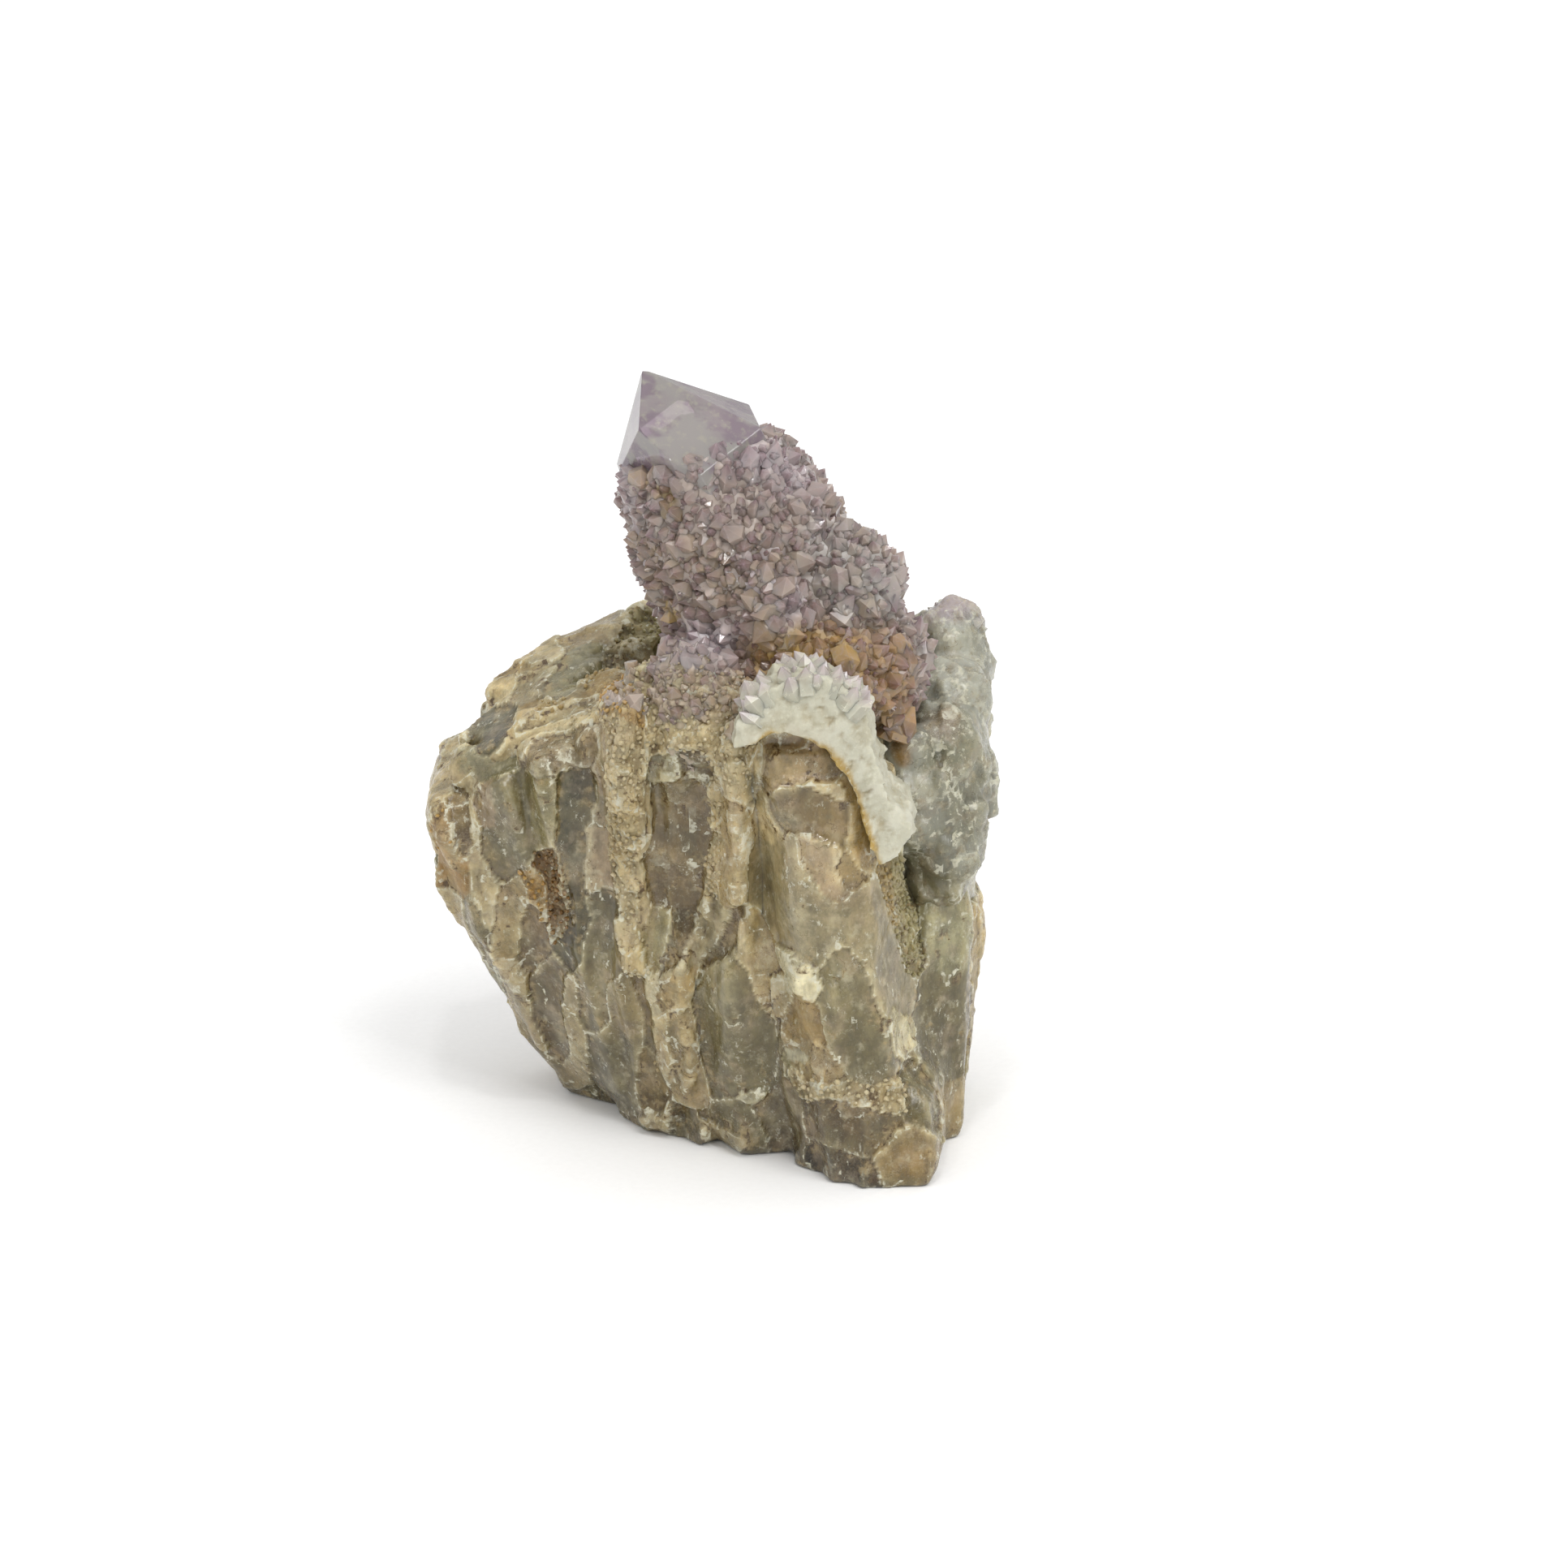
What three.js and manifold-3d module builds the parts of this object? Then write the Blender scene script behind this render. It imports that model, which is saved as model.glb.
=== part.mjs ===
// A cactus quartz cluster: a broken base of milky quartz columns that carries a leaning amethyst
// crystal with a clear tip, coated and ringed by small outward-pointing quartz points, a paler pair
// of coated crystals on its right, and a white broken rind round the stump of the front crystal.
// Units are millimetres, +Z is up and +X runs to the right in front view. The origin lies on the
// flat that the specimen stands on.
import * as THREE from "three";
import { ConvexGeometry } from "three/addons/geometries/ConvexGeometry.js";
import { TessellateModifier } from "three/addons/modifiers/TessellateModifier.js";
import { mergeVertices } from "three/addons/utils/BufferGeometryUtils.js";
import Module from "manifold-3d";

const wasm = await Module();
wasm.setup();

// Driving dimensions
const GAP = 0.55; // how far a piece stays clear of the corners of its neighbours
const FRACTURE_EDGE = 10.5; // longest edge of a fractured face
const FRACTURE_HEIGHT = 1.1; // how far the fracture moves a corner
const FRACTURE_GRAIN = 4.6; // distance between humps of the fracture
const FRACTURE_FIELDS = [11.3, 47.9, 83.1]; // where its noise is read for x, y and z
const SHORTEST_EDGE = 0.06; // cuts leave no edge shorter than this
const BELOW_GROUND = 3; // how far the columns run on below the standing flat before it is cut
const DRUSE_CELL = 2; // distance from the tip of a small point to the valleys round it
const DRUSE_RELIEF = 1.4; // height of the small points
const DRUSE_TIP = [0.6, 1.15]; // lowest and highest tip, in reliefs
const DRUSE_VALLEY = [-0.4, 0]; // deepest and shallowest valley, in reliefs
const DRUSE_SWAY = 0.55; // width of the range in which a corner strays sideways
const DRUSE_RISE = 0.2; // how much more than the valleys the tips turn upwards
const RHOMB_ANGLE = 51.8; // degrees between the normal of a quartz tip's face and its axis

// Broken columns of the base. Each has the middle of its foot and head, half its width and half
// its depth at both, the turn of its six sides, and how much higher its head is at the right and at
// the back than at the left and at the front. Some swell by a belly half way up. A head is blunt,
// or fades to a splinter that lies against the next column.
const BLUNT = { from: 0.92, size: 0.86 };
const SPLINTER = { from: 0.66, size: 0.34 };
const COLUMNS = [
  { name: "heart",
    foot: [3, 5, 0], head: [-2, 4, 51.5], wide: [15, 17], deep: [16, 16],
    turn: 10, tip: [2, 0] },
  { name: "left block",
    foot: [-13.2, 9, 0], head: [-27.4, 6, 45.5], wide: [9.8, 12.3], deep: [8, 13],
    turn: 25, tip: [11, 3], belly: 2.5 },
  { name: "far left rib",
    foot: [-23.2, 6, 8], head: [-34.4, 0, 41], wide: [3.6, 4.2], deep: [6, 7],
    turn: 0, tip: [3, 2], belly: 2.8 },
  { name: "left rib",
    foot: [-19, 3.5, 6], head: [-29, -3.6, 44], wide: [3.6, 3.5], deep: [5, 5.5],
    turn: 30, tip: [2, 2], belly: 1.6 },
  { name: "inner left rib",
    foot: [-16, 1.5, 4], head: [-24, -6, 47.5], wide: [3.6, 3.4], deep: [6, 6],
    turn: 12, tip: [2, 1], belly: 1.4 },
  { name: "slate face",
    foot: [-13.6, 1.5, 2], head: [-19.6, -5, 50], wide: [4, 3], deep: [6, 7],
    turn: 2, tip: [1, 1] },
  { name: "pitted ridge",
    foot: [-10.5, -2.4, 0], head: [-15.4, -9.8, 53.6], wide: [3.2, 2.9], deep: [4, 7.4],
    turn: 28, tip: [1, -1] },
  { name: "grey lens",
    foot: [-12.6, 0, 0], head: [-15.8, -7.6, 42], wide: [4.2, 3.6], deep: [5.4, 7],
    turn: 5, tip: [0, 2], belly: 1.2, top: SPLINTER },
  { name: "smoky window",
    foot: [-6, -1, 4], head: [-8.8, -8, 50], wide: [6.2, 6], deep: [8, 8],
    turn: 0, tip: [0, 0] },
  { name: "cream ridge",
    foot: [-7.4, -3.6, 0], head: [-11, -10.6, 36], wide: [3, 2.6], deep: [5, 5.4],
    turn: 30, tip: [-2, 2], belly: 1, top: SPLINTER },
  { name: "thin ridge",
    foot: [-2, -5, 3], head: [-3.6, -12.5, 52], wide: [3, 2.9], deep: [8, 8],
    turn: 30, tip: [2, -2] },
  { name: "green panel",
    foot: [0, -4, 0], head: [-2.6, -8.8, 38], wide: [7, 5.4], deep: [8, 9.4],
    turn: 8, tip: [6, 2], belly: 1.6, top: SPLINTER },
  { name: "front crystal",
    foot: [11.4, -9.5, 0], head: [4.4, -13, 52], wide: [8.2, 8.4], deep: [11, 10],
    turn: 0, tip: [-1, 3] },
  { name: "front shoulder",
    foot: [9.4, -10.4, 0], head: [7, -12.4, 36], wide: [7, 6.5], deep: [8.6, 10.6],
    turn: 26, tip: [4, 2], top: SPLINTER },
  { name: "toe",
    foot: [13, -13, 0], head: [13, -11.4, 17], wide: [6.6, 6], deep: [8.8, 8],
    turn: 14, tip: [-5, 2], belly: 1.2, top: SPLINTER },
  { name: "right side",
    foot: [16.2, -3.5, 0], head: [18.4, -3, 42], wide: [5.8, 5.8], deep: [7.6, 7.4],
    turn: 30, tip: [-3, 2], top: SPLINTER },
  { name: "amber strip",
    foot: [16.8, 8, 0], head: [18.8, 9, 42], wide: [6.2, 5.6], deep: [7, 7.4],
    turn: 14, tip: [-6, -2], belly: 1.2 },
  { name: "back right",
    foot: [8, 14, 0], head: [9.6, 14, 48], wide: [8, 8], deep: [8.4, 9.4],
    turn: 22, tip: [-5, -4], belly: 1.4 },
  { name: "back middle",
    foot: [-3, 15, 0], head: [-6.4, 16, 53.5], wide: [8, 8.4], deep: [8, 9],
    turn: 4, tip: [1, -3], belly: 1.2 },
  { name: "back left",
    foot: [-11, 12, 0], head: [-18.6, 13.5, 51.5], wide: [7, 8], deep: [7, 8],
    turn: 34, tip: [5, -1], belly: 1.6 },
];

// Layered steps of the broken top on the left: middle, half sizes, and in degrees how steeply each
// rises to the right and how far it swings round the vertical
const TOP_STEPS = [
  { middle: [-25, -1.5, 46.6], half: [11, 2.8, 2.2], rise: 26, swing: 14 },
  { middle: [-26, 4, 47.6], half: [9.5, 2.9, 1.9], rise: 24, swing: 16 },
  { middle: [-23.6, 9.5, 50], half: [9, 3.2, 1.6], rise: 24, swing: 12 },
  { middle: [-19.4, 14, 51.8], half: [7, 3.2, 1.8], rise: 20, swing: 14 },
];

// Broken plates that stand on the sides of the columns, with the ranges of their half sizes
const PLATES = {
  count: 14,
  long: [4, 8],
  wide: [1.8, 3.2],
  thick: [1, 1.8],
  height: [0.15, 0.85], // where they sit between a column's foot and head
  depth: 0.8, // how far out of the column's middle they sit, against its radius
};

// Shell-shaped scars that are chipped out of the base
const SCARS = [
  { middle: [-24.5, -9.5, 27], half: [3.4, 2.6, 7] },
  { middle: [-31, -6.6, 22], half: [2.2, 2.4, 6] },
  { middle: [3.6, -26.4, 46.6], half: [5.5, 3.4, 3.6] },
  { middle: [7.5, -26.4, 12], half: [4.6, 2.6, 4.4] },
  { middle: [-4.4, -20, 27.5], half: [1.8, 2.4, 4.6] },
  { middle: [20, -13.5, 15], half: [2.4, 2.6, 9] },
  { middle: [24.8, -3, 31], half: [2, 3.4, 7] },
  { middle: [25.6, 10, 24], half: [2.4, 4, 4.4] },
  { middle: [2, 27, 30], half: [6, 3.4, 9] },
  { middle: [-28, 19.5, 30], half: [6, 4, 8] },
  { middle: [16, 23, 18], half: [5, 4, 7] },
];

// The clear tip: a six-sided prism whose three large tip faces meet in the apex. The small tip faces
// between them reach close to the apex, apart from the one that faces forward.
const CLEAR_TIP = {
  apex: [-13.3, -3, 88.2],
  axis: [-0.44, -0.08, 0.894],
  offCentre: 0.5, // how far the prism's middle lies to the right of the apex
  flat: 7.9, // from the prism's middle to its sides
  firstFace: 39, // degrees from the viewer's side round to the first large face
  reaches: [0, 0.2, 0, 0.2, 0, 3], // how far out the six tip faces lie
  length: 18,
};

// The coated body of the amethyst below its tip: distance down its axis and radius there
const SPIRE = [
  [9.6, 6.6], [11, 8.4], [14, 9.9], [18, 11.2], [22, 11.7], [30, 11.6], [38, 9.4], [42, 7],
];
const WIDEST = Math.max(...SPIRE.map(([, radius]) => radius));

// Rounded, coated growths: middle, half sizes, axis and fineness
const AMETHYST_GROWTHS = [
  { name: "shoulder knob", middle: [9.4, -6, 64.6], half: [5.5, 5.8, 7.2],
    axis: [-0.12, 0.08, 0.99], fineness: 3 },
  { name: "front knob", middle: [0.7, -10.6, 63.6], half: [4.8, 4.6, 6.6],
    axis: [-0.1, -0.1, 0.99], fineness: 3 },
  { name: "skirt", middle: [5.6, -5.4, 55.4], half: [12.4, 11.4, 8.2],
    axis: [-0.1, 0.05, 0.99], fineness: 5 },
  { name: "apron", middle: [-6.6, -9.8, 53], half: [7.2, 8, 8.4],
    axis: [0.15, 0.1, 0.98], fineness: 4 },
  { name: "back growth", middle: [4.4, 8, 57], half: [9.4, 8.4, 10],
    axis: [0, 0.2, 0.98], fineness: 4 },
];
const PALE_GROWTHS = [
  { name: "rear crystal", middle: [19.8, 8, 48.8], half: [5.4, 6, 10],
    axis: [0.06, 0, 1], fineness: 3 },
  { name: "milky column", middle: [19, -3, 40.6], half: [6, 7.4, 10.4],
    axis: [0.05, -0.04, 1], fineness: 3 },
];
const PALE_RELIEF = 0.8; // height of the blunter points on the pale crystals

// Larger points that stand out of the coats: root, direction, radius and stem. Their tips rise by
// more than their radius.
const POINT_STEEPNESS = 1.1;
const BIG_POINTS = [
  { root: [12, -5.4, 59.4], along: [0.9, -0.12, 0.36], radius: 2.6, stem: 2.6 },
  { root: [12.6, -6.4, 56], along: [0.97, -0.1, 0.2], radius: 2.8, stem: 2.2 },
  { root: [11.4, -9.4, 50.4], along: [0.86, -0.4, 0.1], radius: 2.2, stem: 3 },
  { root: [10.4, -4.6, 62], along: [0.24, -0.06, 0.97], radius: 4.4, stem: 4 },
  { root: [4, 6, 68], along: [0.5, 0.5, 0.7], radius: 2.2, stem: 2.6 },
  { root: [-1, 12, 60], along: [-0.3, 0.85, 0.4], radius: 2.6, stem: 3.4 },
];

// White rind: a broken crust that hooks over the stump of the front crystal. Its outline is drawn
// in front view as [x, z] pairs along the outside and back along the inside.
const RIND = {
  outside: [
    [-3.6, 51.8], [-3, 55.2], [-1.2, 58], [2.4, 59.8], [5, 60.2], [8, 59.4], [10, 57.8],
    [11.2, 54.6], [11.9, 51], [13.1, 47.2], [15.2, 44.6], [16, 42.6], [14.2, 40],
  ],
  inside: [
    [12.1, 39.6], [11.3, 41.8], [10.4, 44.4], [9.7, 47], [8.5, 49.6], [6.4, 52], [3.4, 53.4],
    [0.4, 53.6], [-1.6, 52.4],
  ],
  front: -24.2,
  back: -13.5,
  sweep: 0.1, // the crust leans back as it rises
  edge: 8, // longest edge of its broken faces
  rough: 0.5, // how far the fracture moves a corner
};

// Teeth along the rind's outer edge, from its left end to its lower end
const TEETH = {
  count: 11,
  radius: [1.7, 1], // at the left end and at the lower end
  spread: [0.85, 1.2], // how much one tooth may be smaller or larger than its place gives
  sunk: 1.4, // how deep its root lies, in radii
  clear: [1.8, 3], // how far the roots keep from the rind's front and back
  lean: 0.8, // width of the range in which they lean forwards or backwards
};

const vec = (p) => new THREE.Vector3(...p);
const unit = (p) => vec(p).normalize();
const lerp = THREE.MathUtils.lerp;
const radians = THREE.MathUtils.degToRad;

// Repeatable random numbers from 0 to 1
function randomFrom(seed) {
  let state = seed;
  return () => {
    state = (state * 1664525 + 1013904223) % 4294967296;
    return state / 4294967296;
  };
}

// A closed geometry with its shared corners merged and empty triangles left out
function mergedShape(geometry) {
  const bare = geometry.clone();
  bare.deleteAttribute("normal");
  bare.deleteAttribute("uv");
  const merged = mergeVertices(bare, 1e-4);
  const corners = merged.index.array;
  const kept = [];
  for (let i = 0; i < corners.length; i += 3) {
    const [a, b, c] = corners.slice(i, i + 3);
    if (a !== b && b !== c && c !== a) kept.push(a, b, c);
  }
  merged.setIndex(kept);
  merged.computeVertexNormals();
  return merged;
}

function solidOf(geometry) {
  const merged = mergedShape(geometry);
  return new wasm.Manifold(
    new wasm.Mesh({
      numProp: 3,
      vertProperties: new Float32Array(merged.attributes.position.array),
      triVerts: new Uint32Array(merged.index.array),
    }),
  );
}

function geometryOf(solid) {
  const made = solid.getMesh();
  const geometry = new THREE.BufferGeometry();
  geometry.setAttribute("position", new THREE.BufferAttribute(made.vertProperties, 3));
  geometry.setIndex(new THREE.BufferAttribute(made.triVerts, 1));
  geometry.computeVertexNormals();
  return geometry;
}

// Corners that share an edge with each corner
function neighboursOf(geometry) {
  const near = Array.from({ length: geometry.attributes.position.count }, () => new Set());
  const corners = geometry.index.array;
  for (let i = 0; i < corners.length; i += 3)
    for (let k = 0; k < 3; k++) {
      const [a, b] = [corners[i + k], corners[i + ((k + 1) % 3)]];
      near[a].add(b);
      near[b].add(a);
    }
  return near;
}

// Draws both ends of each short edge into its lower end, where the surface stays closed
function withoutShortEdges(geometry, limit) {
  const place = geometry.attributes.position;
  const corner = (n) => new THREE.Vector3().fromBufferAttribute(place, n);
  for (;;) {
    const near = neighboursOf(geometry);
    const drawnTo = new Map();
    const busy = new Set();
    for (let a = 0; a < near.length; a++)
      for (const b of near[a]) {
        if (corner(a).distanceTo(corner(b)) >= limit || place.getZ(a) > place.getZ(b)) continue;
        const ring = [...near[a], ...near[b]];
        const common = [...near[a]].filter((n) => near[b].has(n));
        if (common.length !== 2 || ring.some((n) => busy.has(n))) continue;
        drawnTo.set(b, a);
        ring.forEach((n) => busy.add(n));
      }
    if (!drawnTo.size) return geometry;
    const kept = [];
    const corners = geometry.index.array;
    for (let i = 0; i < corners.length; i += 3) {
      const [a, b, c] = [0, 1, 2].map((k) => drawnTo.get(corners[i + k]) ?? corners[i + k]);
      if (a !== b && b !== c && c !== a) kept.push(a, b, c);
    }
    geometry.setIndex(kept);
  }
}

const joined = (solids) => solids.reduce((all, one) => all.add(one));

const biggestBody = (solid) =>
  solid.decompose().reduce((best, one) => (one.volume() > best.volume() ? one : best));

// The main body of a solid, without the crumbs and the tiny edges that its cuts have left
const mainBody = (solid) =>
  biggestBody(solidOf(withoutShortEdges(geometryOf(biggestBody(solid)), SHORTEST_EDGE)));

// Moves each corner of a geometry to the place that a function gives
function moveCorners(geometry, moved) {
  const place = geometry.attributes.position;
  const normal = geometry.attributes.normal;
  for (let n = 0; n < place.count; n++) {
    const p = new THREE.Vector3().fromBufferAttribute(place, n);
    const out = normal ? new THREE.Vector3().fromBufferAttribute(normal, n) : null;
    place.setXYZ(n, ...moved(p, out, n).toArray());
  }
  return geometry;
}

// A solid pushed out all over, to cut its neighbours clear of it
const grown = (solid) =>
  solidOf(moveCorners(geometryOf(solid), (p, out) => p.addScaledVector(out, GAP)));

// Smooth noise from -1 to 1 between hashed values on a lattice. Any large numbers that share no
// factor serve for the hash.
const HASH = { along: [127.1, 311.7, 74.7], spread: 43758.5453 };
function noise(x, y, z) {
  const hash = (...cell) => {
    const mix = cell.reduce((sum, c, n) => sum + c * HASH.along[n], 0);
    const s = Math.sin(mix) * HASH.spread;
    return 2 * (s - Math.floor(s)) - 1;
  };
  const [i, j, k] = [Math.floor(x), Math.floor(y), Math.floor(z)];
  const smooth = (t) => t * t * (3 - 2 * t);
  const [u, v, w] = [smooth(x - i), smooth(y - j), smooth(z - k)];
  const row = (b, c) => lerp(hash(i, j + b, k + c), hash(i + 1, j + b, k + c), u);
  return lerp(lerp(row(0, 0), row(1, 0), v), lerp(row(0, 1), row(1, 1), v), w);
}

// Breaks flat faces into the uneven facets of a fracture
function fractured(geometry, edge = FRACTURE_EDGE, height = FRACTURE_HEIGHT) {
  const fine = new TessellateModifier(edge, 8).modify(geometry);
  return solidOf(
    moveCorners(fine, (p) => {
      const at = (offset) => noise(...p.toArray().map((c) => c / FRACTURE_GRAIN + offset));
      return p.clone().add(vec(FRACTURE_FIELDS.map(at)).multiplyScalar(height));
    }),
  );
}

// A point on a column: t runs from foot to head, and angle goes round it
function onColumn(column, t, angle, out = 1) {
  const bulge = (column.belly ?? 0) * Math.sin(Math.PI * t);
  const wide = (lerp(...column.wide, t) + bulge) * out;
  const deep = (lerp(...column.deep, t) + bulge) * out;
  const round = new THREE.Vector3(wide * Math.cos(angle), deep * Math.sin(angle), 0);
  return vec(column.foot).lerp(vec(column.head), t).add(round);
}

function columnSolid(column) {
  const top = column.top ?? BLUNT;
  const points = [];
  for (let side = 0; side < 6; side++) {
    const angle = radians(column.turn + side * 60);
    const [right, back] = column.tip;
    const lift = (right * Math.cos(angle) + back * Math.sin(angle)) / 2;
    for (const t of [0, 0.5, top.from, 1]) {
      const p = onColumn(column, t, angle, t === 1 ? top.size : 1);
      p.z += lift * t;
      points.push(p);
    }
    if (column.foot[2] === 0) points.push(onColumn(column, 0, angle).setZ(-BELOW_GROUND));
  }
  return fractured(new ConvexGeometry(points));
}

// A convex plate with an uneven outline, flat in its own x and y
function plateGeometry([long, wide, thick], corners, random) {
  const points = [];
  for (let n = 0; n < corners; n++) {
    const turn = ((n + 0.6 * random()) / corners) * Math.PI * 2;
    for (const level of [-thick, thick])
      points.push(new THREE.Vector3(long * Math.cos(turn), wide * Math.sin(turn), level));
  }
  return new ConvexGeometry(points);
}

function stepSolid({ middle, half, rise, swing }, n) {
  const plate = plateGeometry(half, 8, randomFrom(40 + n));
  plate.rotateY(-radians(rise)).rotateZ(radians(swing)).translate(...middle);
  return fractured(plate);
}

function sidePlate(random) {
  const column = COLUMNS[1 + Math.floor(random() * (COLUMNS.length - 1))];
  const t = lerp(...PLATES.height, random());
  const angle = Math.PI * 2 * random();
  const along = vec(column.head).sub(vec(column.foot)).normalize();
  const out = new THREE.Vector3(Math.cos(angle), Math.sin(angle), 0);
  const across = new THREE.Vector3().crossVectors(out, along).normalize();
  const normal = new THREE.Vector3().crossVectors(along, across);
  const half = [PLATES.long, PLATES.wide, PLATES.thick].map((range) => lerp(...range, random()));
  const plate = plateGeometry(half, 6, random);
  plate.applyMatrix4(new THREE.Matrix4().makeBasis(along, across, normal));
  return solidOf(plate.translate(...onColumn(column, t, angle, PLATES.depth).toArray()));
}

const scarSolid = ({ middle, half }) =>
  solidOf(new THREE.IcosahedronGeometry(1, 1).scale(...half).translate(...middle));

// A turn that takes +Y onto a direction
const yTo = (direction) =>
  new THREE.Quaternion().setFromUnitVectors(new THREE.Vector3(0, 1, 0), direction);

// Which corners become tips, so that each tip has valleys all round it
function chooseTips(near, random) {
  const state = new Array(near.length).fill("open");
  const valleys = new Array(near.length).fill(0);
  for (;;) {
    let best = -1;
    let bestScore = -1;
    for (let n = 0; n < near.length; n++) {
      const score = valleys[n] + 1.6 * random();
      if (state[n] === "open" && score > bestScore) [best, bestScore] = [n, score];
    }
    if (best < 0) return state.map((one) => one === "tip");
    state[best] = "tip";
    for (const valley of near[best]) {
      if (state[valley] === "valley") continue;
      state[valley] = "valley";
      for (const other of near[valley]) valleys[other]++;
    }
  }
}

// Raises a closed, evenly divided surface into a coat of small points
function druseSolid(geometry, seed, relief = DRUSE_RELIEF) {
  const random = randomFrom(seed);
  const shape = mergedShape(geometry);
  const tips = chooseTips(neighboursOf(shape), random);
  const sway = () => DRUSE_SWAY * (random() - 0.5);
  return solidOf(
    moveCorners(shape, (p, out, n) => {
      const height = lerp(...(tips[n] ? DRUSE_TIP : DRUSE_VALLEY), random());
      const aside = new THREE.Vector3(sway(), sway(), sway() + (tips[n] ? DRUSE_RISE : 0));
      return p.add(aside).addScaledVector(out, height * relief);
    }),
  );
}

// Radius of the amethyst's body at a distance down its axis
function spireRadius(s) {
  const n = Math.max(1, SPIRE.findIndex(([end]) => s <= end));
  const [[s0, r0], [s1, r1]] = [SPIRE[n - 1], SPIRE[n]];
  return lerp(r0, r1, (s - s0) / (s1 - s0));
}

// The body's surface of revolution, divided into even triangles by turning each row half a cell
function spireGeometry() {
  const [top, bottom] = [SPIRE[0][0], SPIRE[SPIRE.length - 1][0]];
  const rows = Math.round((bottom - top) / (DRUSE_CELL * Math.sin(Math.PI / 3)));
  const columns = Math.round((2 * Math.PI * WIDEST) / DRUSE_CELL);
  const outline = [new THREE.Vector2(0, -bottom)];
  for (let row = rows; row >= 0; row--) {
    const s = lerp(top, bottom, row / rows);
    outline.push(new THREE.Vector2(spireRadius(s), -s));
  }
  outline.push(new THREE.Vector2(0, -top));
  const lathe = new THREE.LatheGeometry(outline, columns);
  const upright = new THREE.Vector3(0, 1, 0);
  moveCorners(lathe, (p, out, n) =>
    p.applyAxisAngle(upright, ((n % outline.length) * Math.PI) / columns),
  );
  const middle = vec(CLEAR_TIP.apex);
  middle.x += CLEAR_TIP.offCentre;
  return lathe.applyQuaternion(yTo(unit(CLEAR_TIP.axis))).translate(...middle.toArray());
}

function growthGeometry({ middle, half, axis, fineness }) {
  const ball = new THREE.IcosahedronGeometry(1, fineness).scale(half[0], half[2], half[1]);
  return ball.applyQuaternion(yTo(unit(axis))).translate(...middle);
}

const growthSolids = (growths, relief) =>
  growths.map((growth, n) => druseSolid(growthGeometry(growth), 300 + 7 * n, relief));

// One six-sided quartz point that rises from its root along a direction
function quartzPoint({ root, along, radius, stem }, n) {
  const outline = [
    new THREE.Vector2(0, 0),
    new THREE.Vector2(radius, 0),
    new THREE.Vector2(radius, stem),
    new THREE.Vector2(0, stem + POINT_STEEPNESS * radius),
  ];
  const lathe = new THREE.LatheGeometry(outline, 6).rotateY(n);
  return solidOf(lathe.applyQuaternion(yTo(unit(along))).translate(...root));
}

// The corners of the body that a set of planes encloses
function crystalCorners(planes) {
  const corners = [];
  for (let a = 0; a < planes.length; a++)
    for (let b = a + 1; b < planes.length; b++)
      for (let c = b + 1; c < planes.length; c++) {
        const rows = [planes[a], planes[b], planes[c]];
        const matrix = new THREE.Matrix3().set(...rows.flatMap((p) => p.normal.toArray()));
        if (Math.abs(matrix.determinant()) < 1e-6) continue;
        const at = vec(rows.map((p) => p.reach)).applyMatrix3(matrix.invert());
        if (planes.every((p) => p.normal.dot(at) < p.reach + 1e-6)) corners.push(at);
      }
  return corners;
}

function clearTip({ apex, axis, offCentre, flat, firstFace, reaches, length }) {
  const up = unit(axis);
  const right = new THREE.Vector3(1, 0, 0).addScaledVector(up, -up.x).normalize();
  const back = new THREE.Vector3().crossVectors(up, right);
  const planes = [{ normal: up.clone().negate(), reach: length }];
  for (let n = 0; n < 6; n++) {
    const angle = radians(firstFace + 60 * n);
    const out = right.clone().multiplyScalar(Math.sin(angle));
    out.addScaledVector(back, -Math.cos(angle));
    planes.push({ normal: out, reach: flat + offCentre * right.dot(out) });
    const slope = out.clone().multiplyScalar(Math.sin(radians(RHOMB_ANGLE)));
    slope.addScaledVector(up, Math.cos(radians(RHOMB_ANGLE)));
    planes.push({ normal: slope, reach: reaches[n] });
  }
  return solidOf(new ConvexGeometry(crystalCorners(planes)).translate(...apex));
}

function rindBand({ outside, inside, front, back, sweep, edge, rough }) {
  const shape = new THREE.Shape([...outside, ...inside].map((p) => new THREE.Vector2(...p)));
  const band = new THREE.ExtrudeGeometry(shape, { depth: back - front, bevelEnabled: false });
  band.rotateX(Math.PI / 2).translate(0, back, 0);
  moveCorners(band, (p) => p.setY(p.y + sweep * (p.z - inside[0][1])));
  return fractured(band, edge, rough);
}

function rindTeeth({ outside, inside, front, back, sweep }) {
  const { count, radius, spread, sunk, clear, lean } = TEETH;
  const random = randomFrom(77);
  const rim = new THREE.CatmullRomCurve3(outside.map(([x, z]) => new THREE.Vector3(x, 0, z)));
  return Array.from({ length: count }, (_, n) => {
    const t = (n + random()) / count;
    const at = rim.getPointAt(t);
    const run = rim.getTangentAt(t);
    const out = new THREE.Vector3(-run.z, lean * (random() - 0.5), run.x).normalize();
    const size = lerp(...radius, t) * lerp(...spread, random());
    at.y = lerp(front + clear[0], back - clear[1], random()) + sweep * (at.z - inside[0][1]);
    at.addScaledVector(out, -sunk * size);
    return quartzPoint({ root: at.toArray(), along: out.toArray(), radius: size, stem: size }, n);
  });
}

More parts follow.
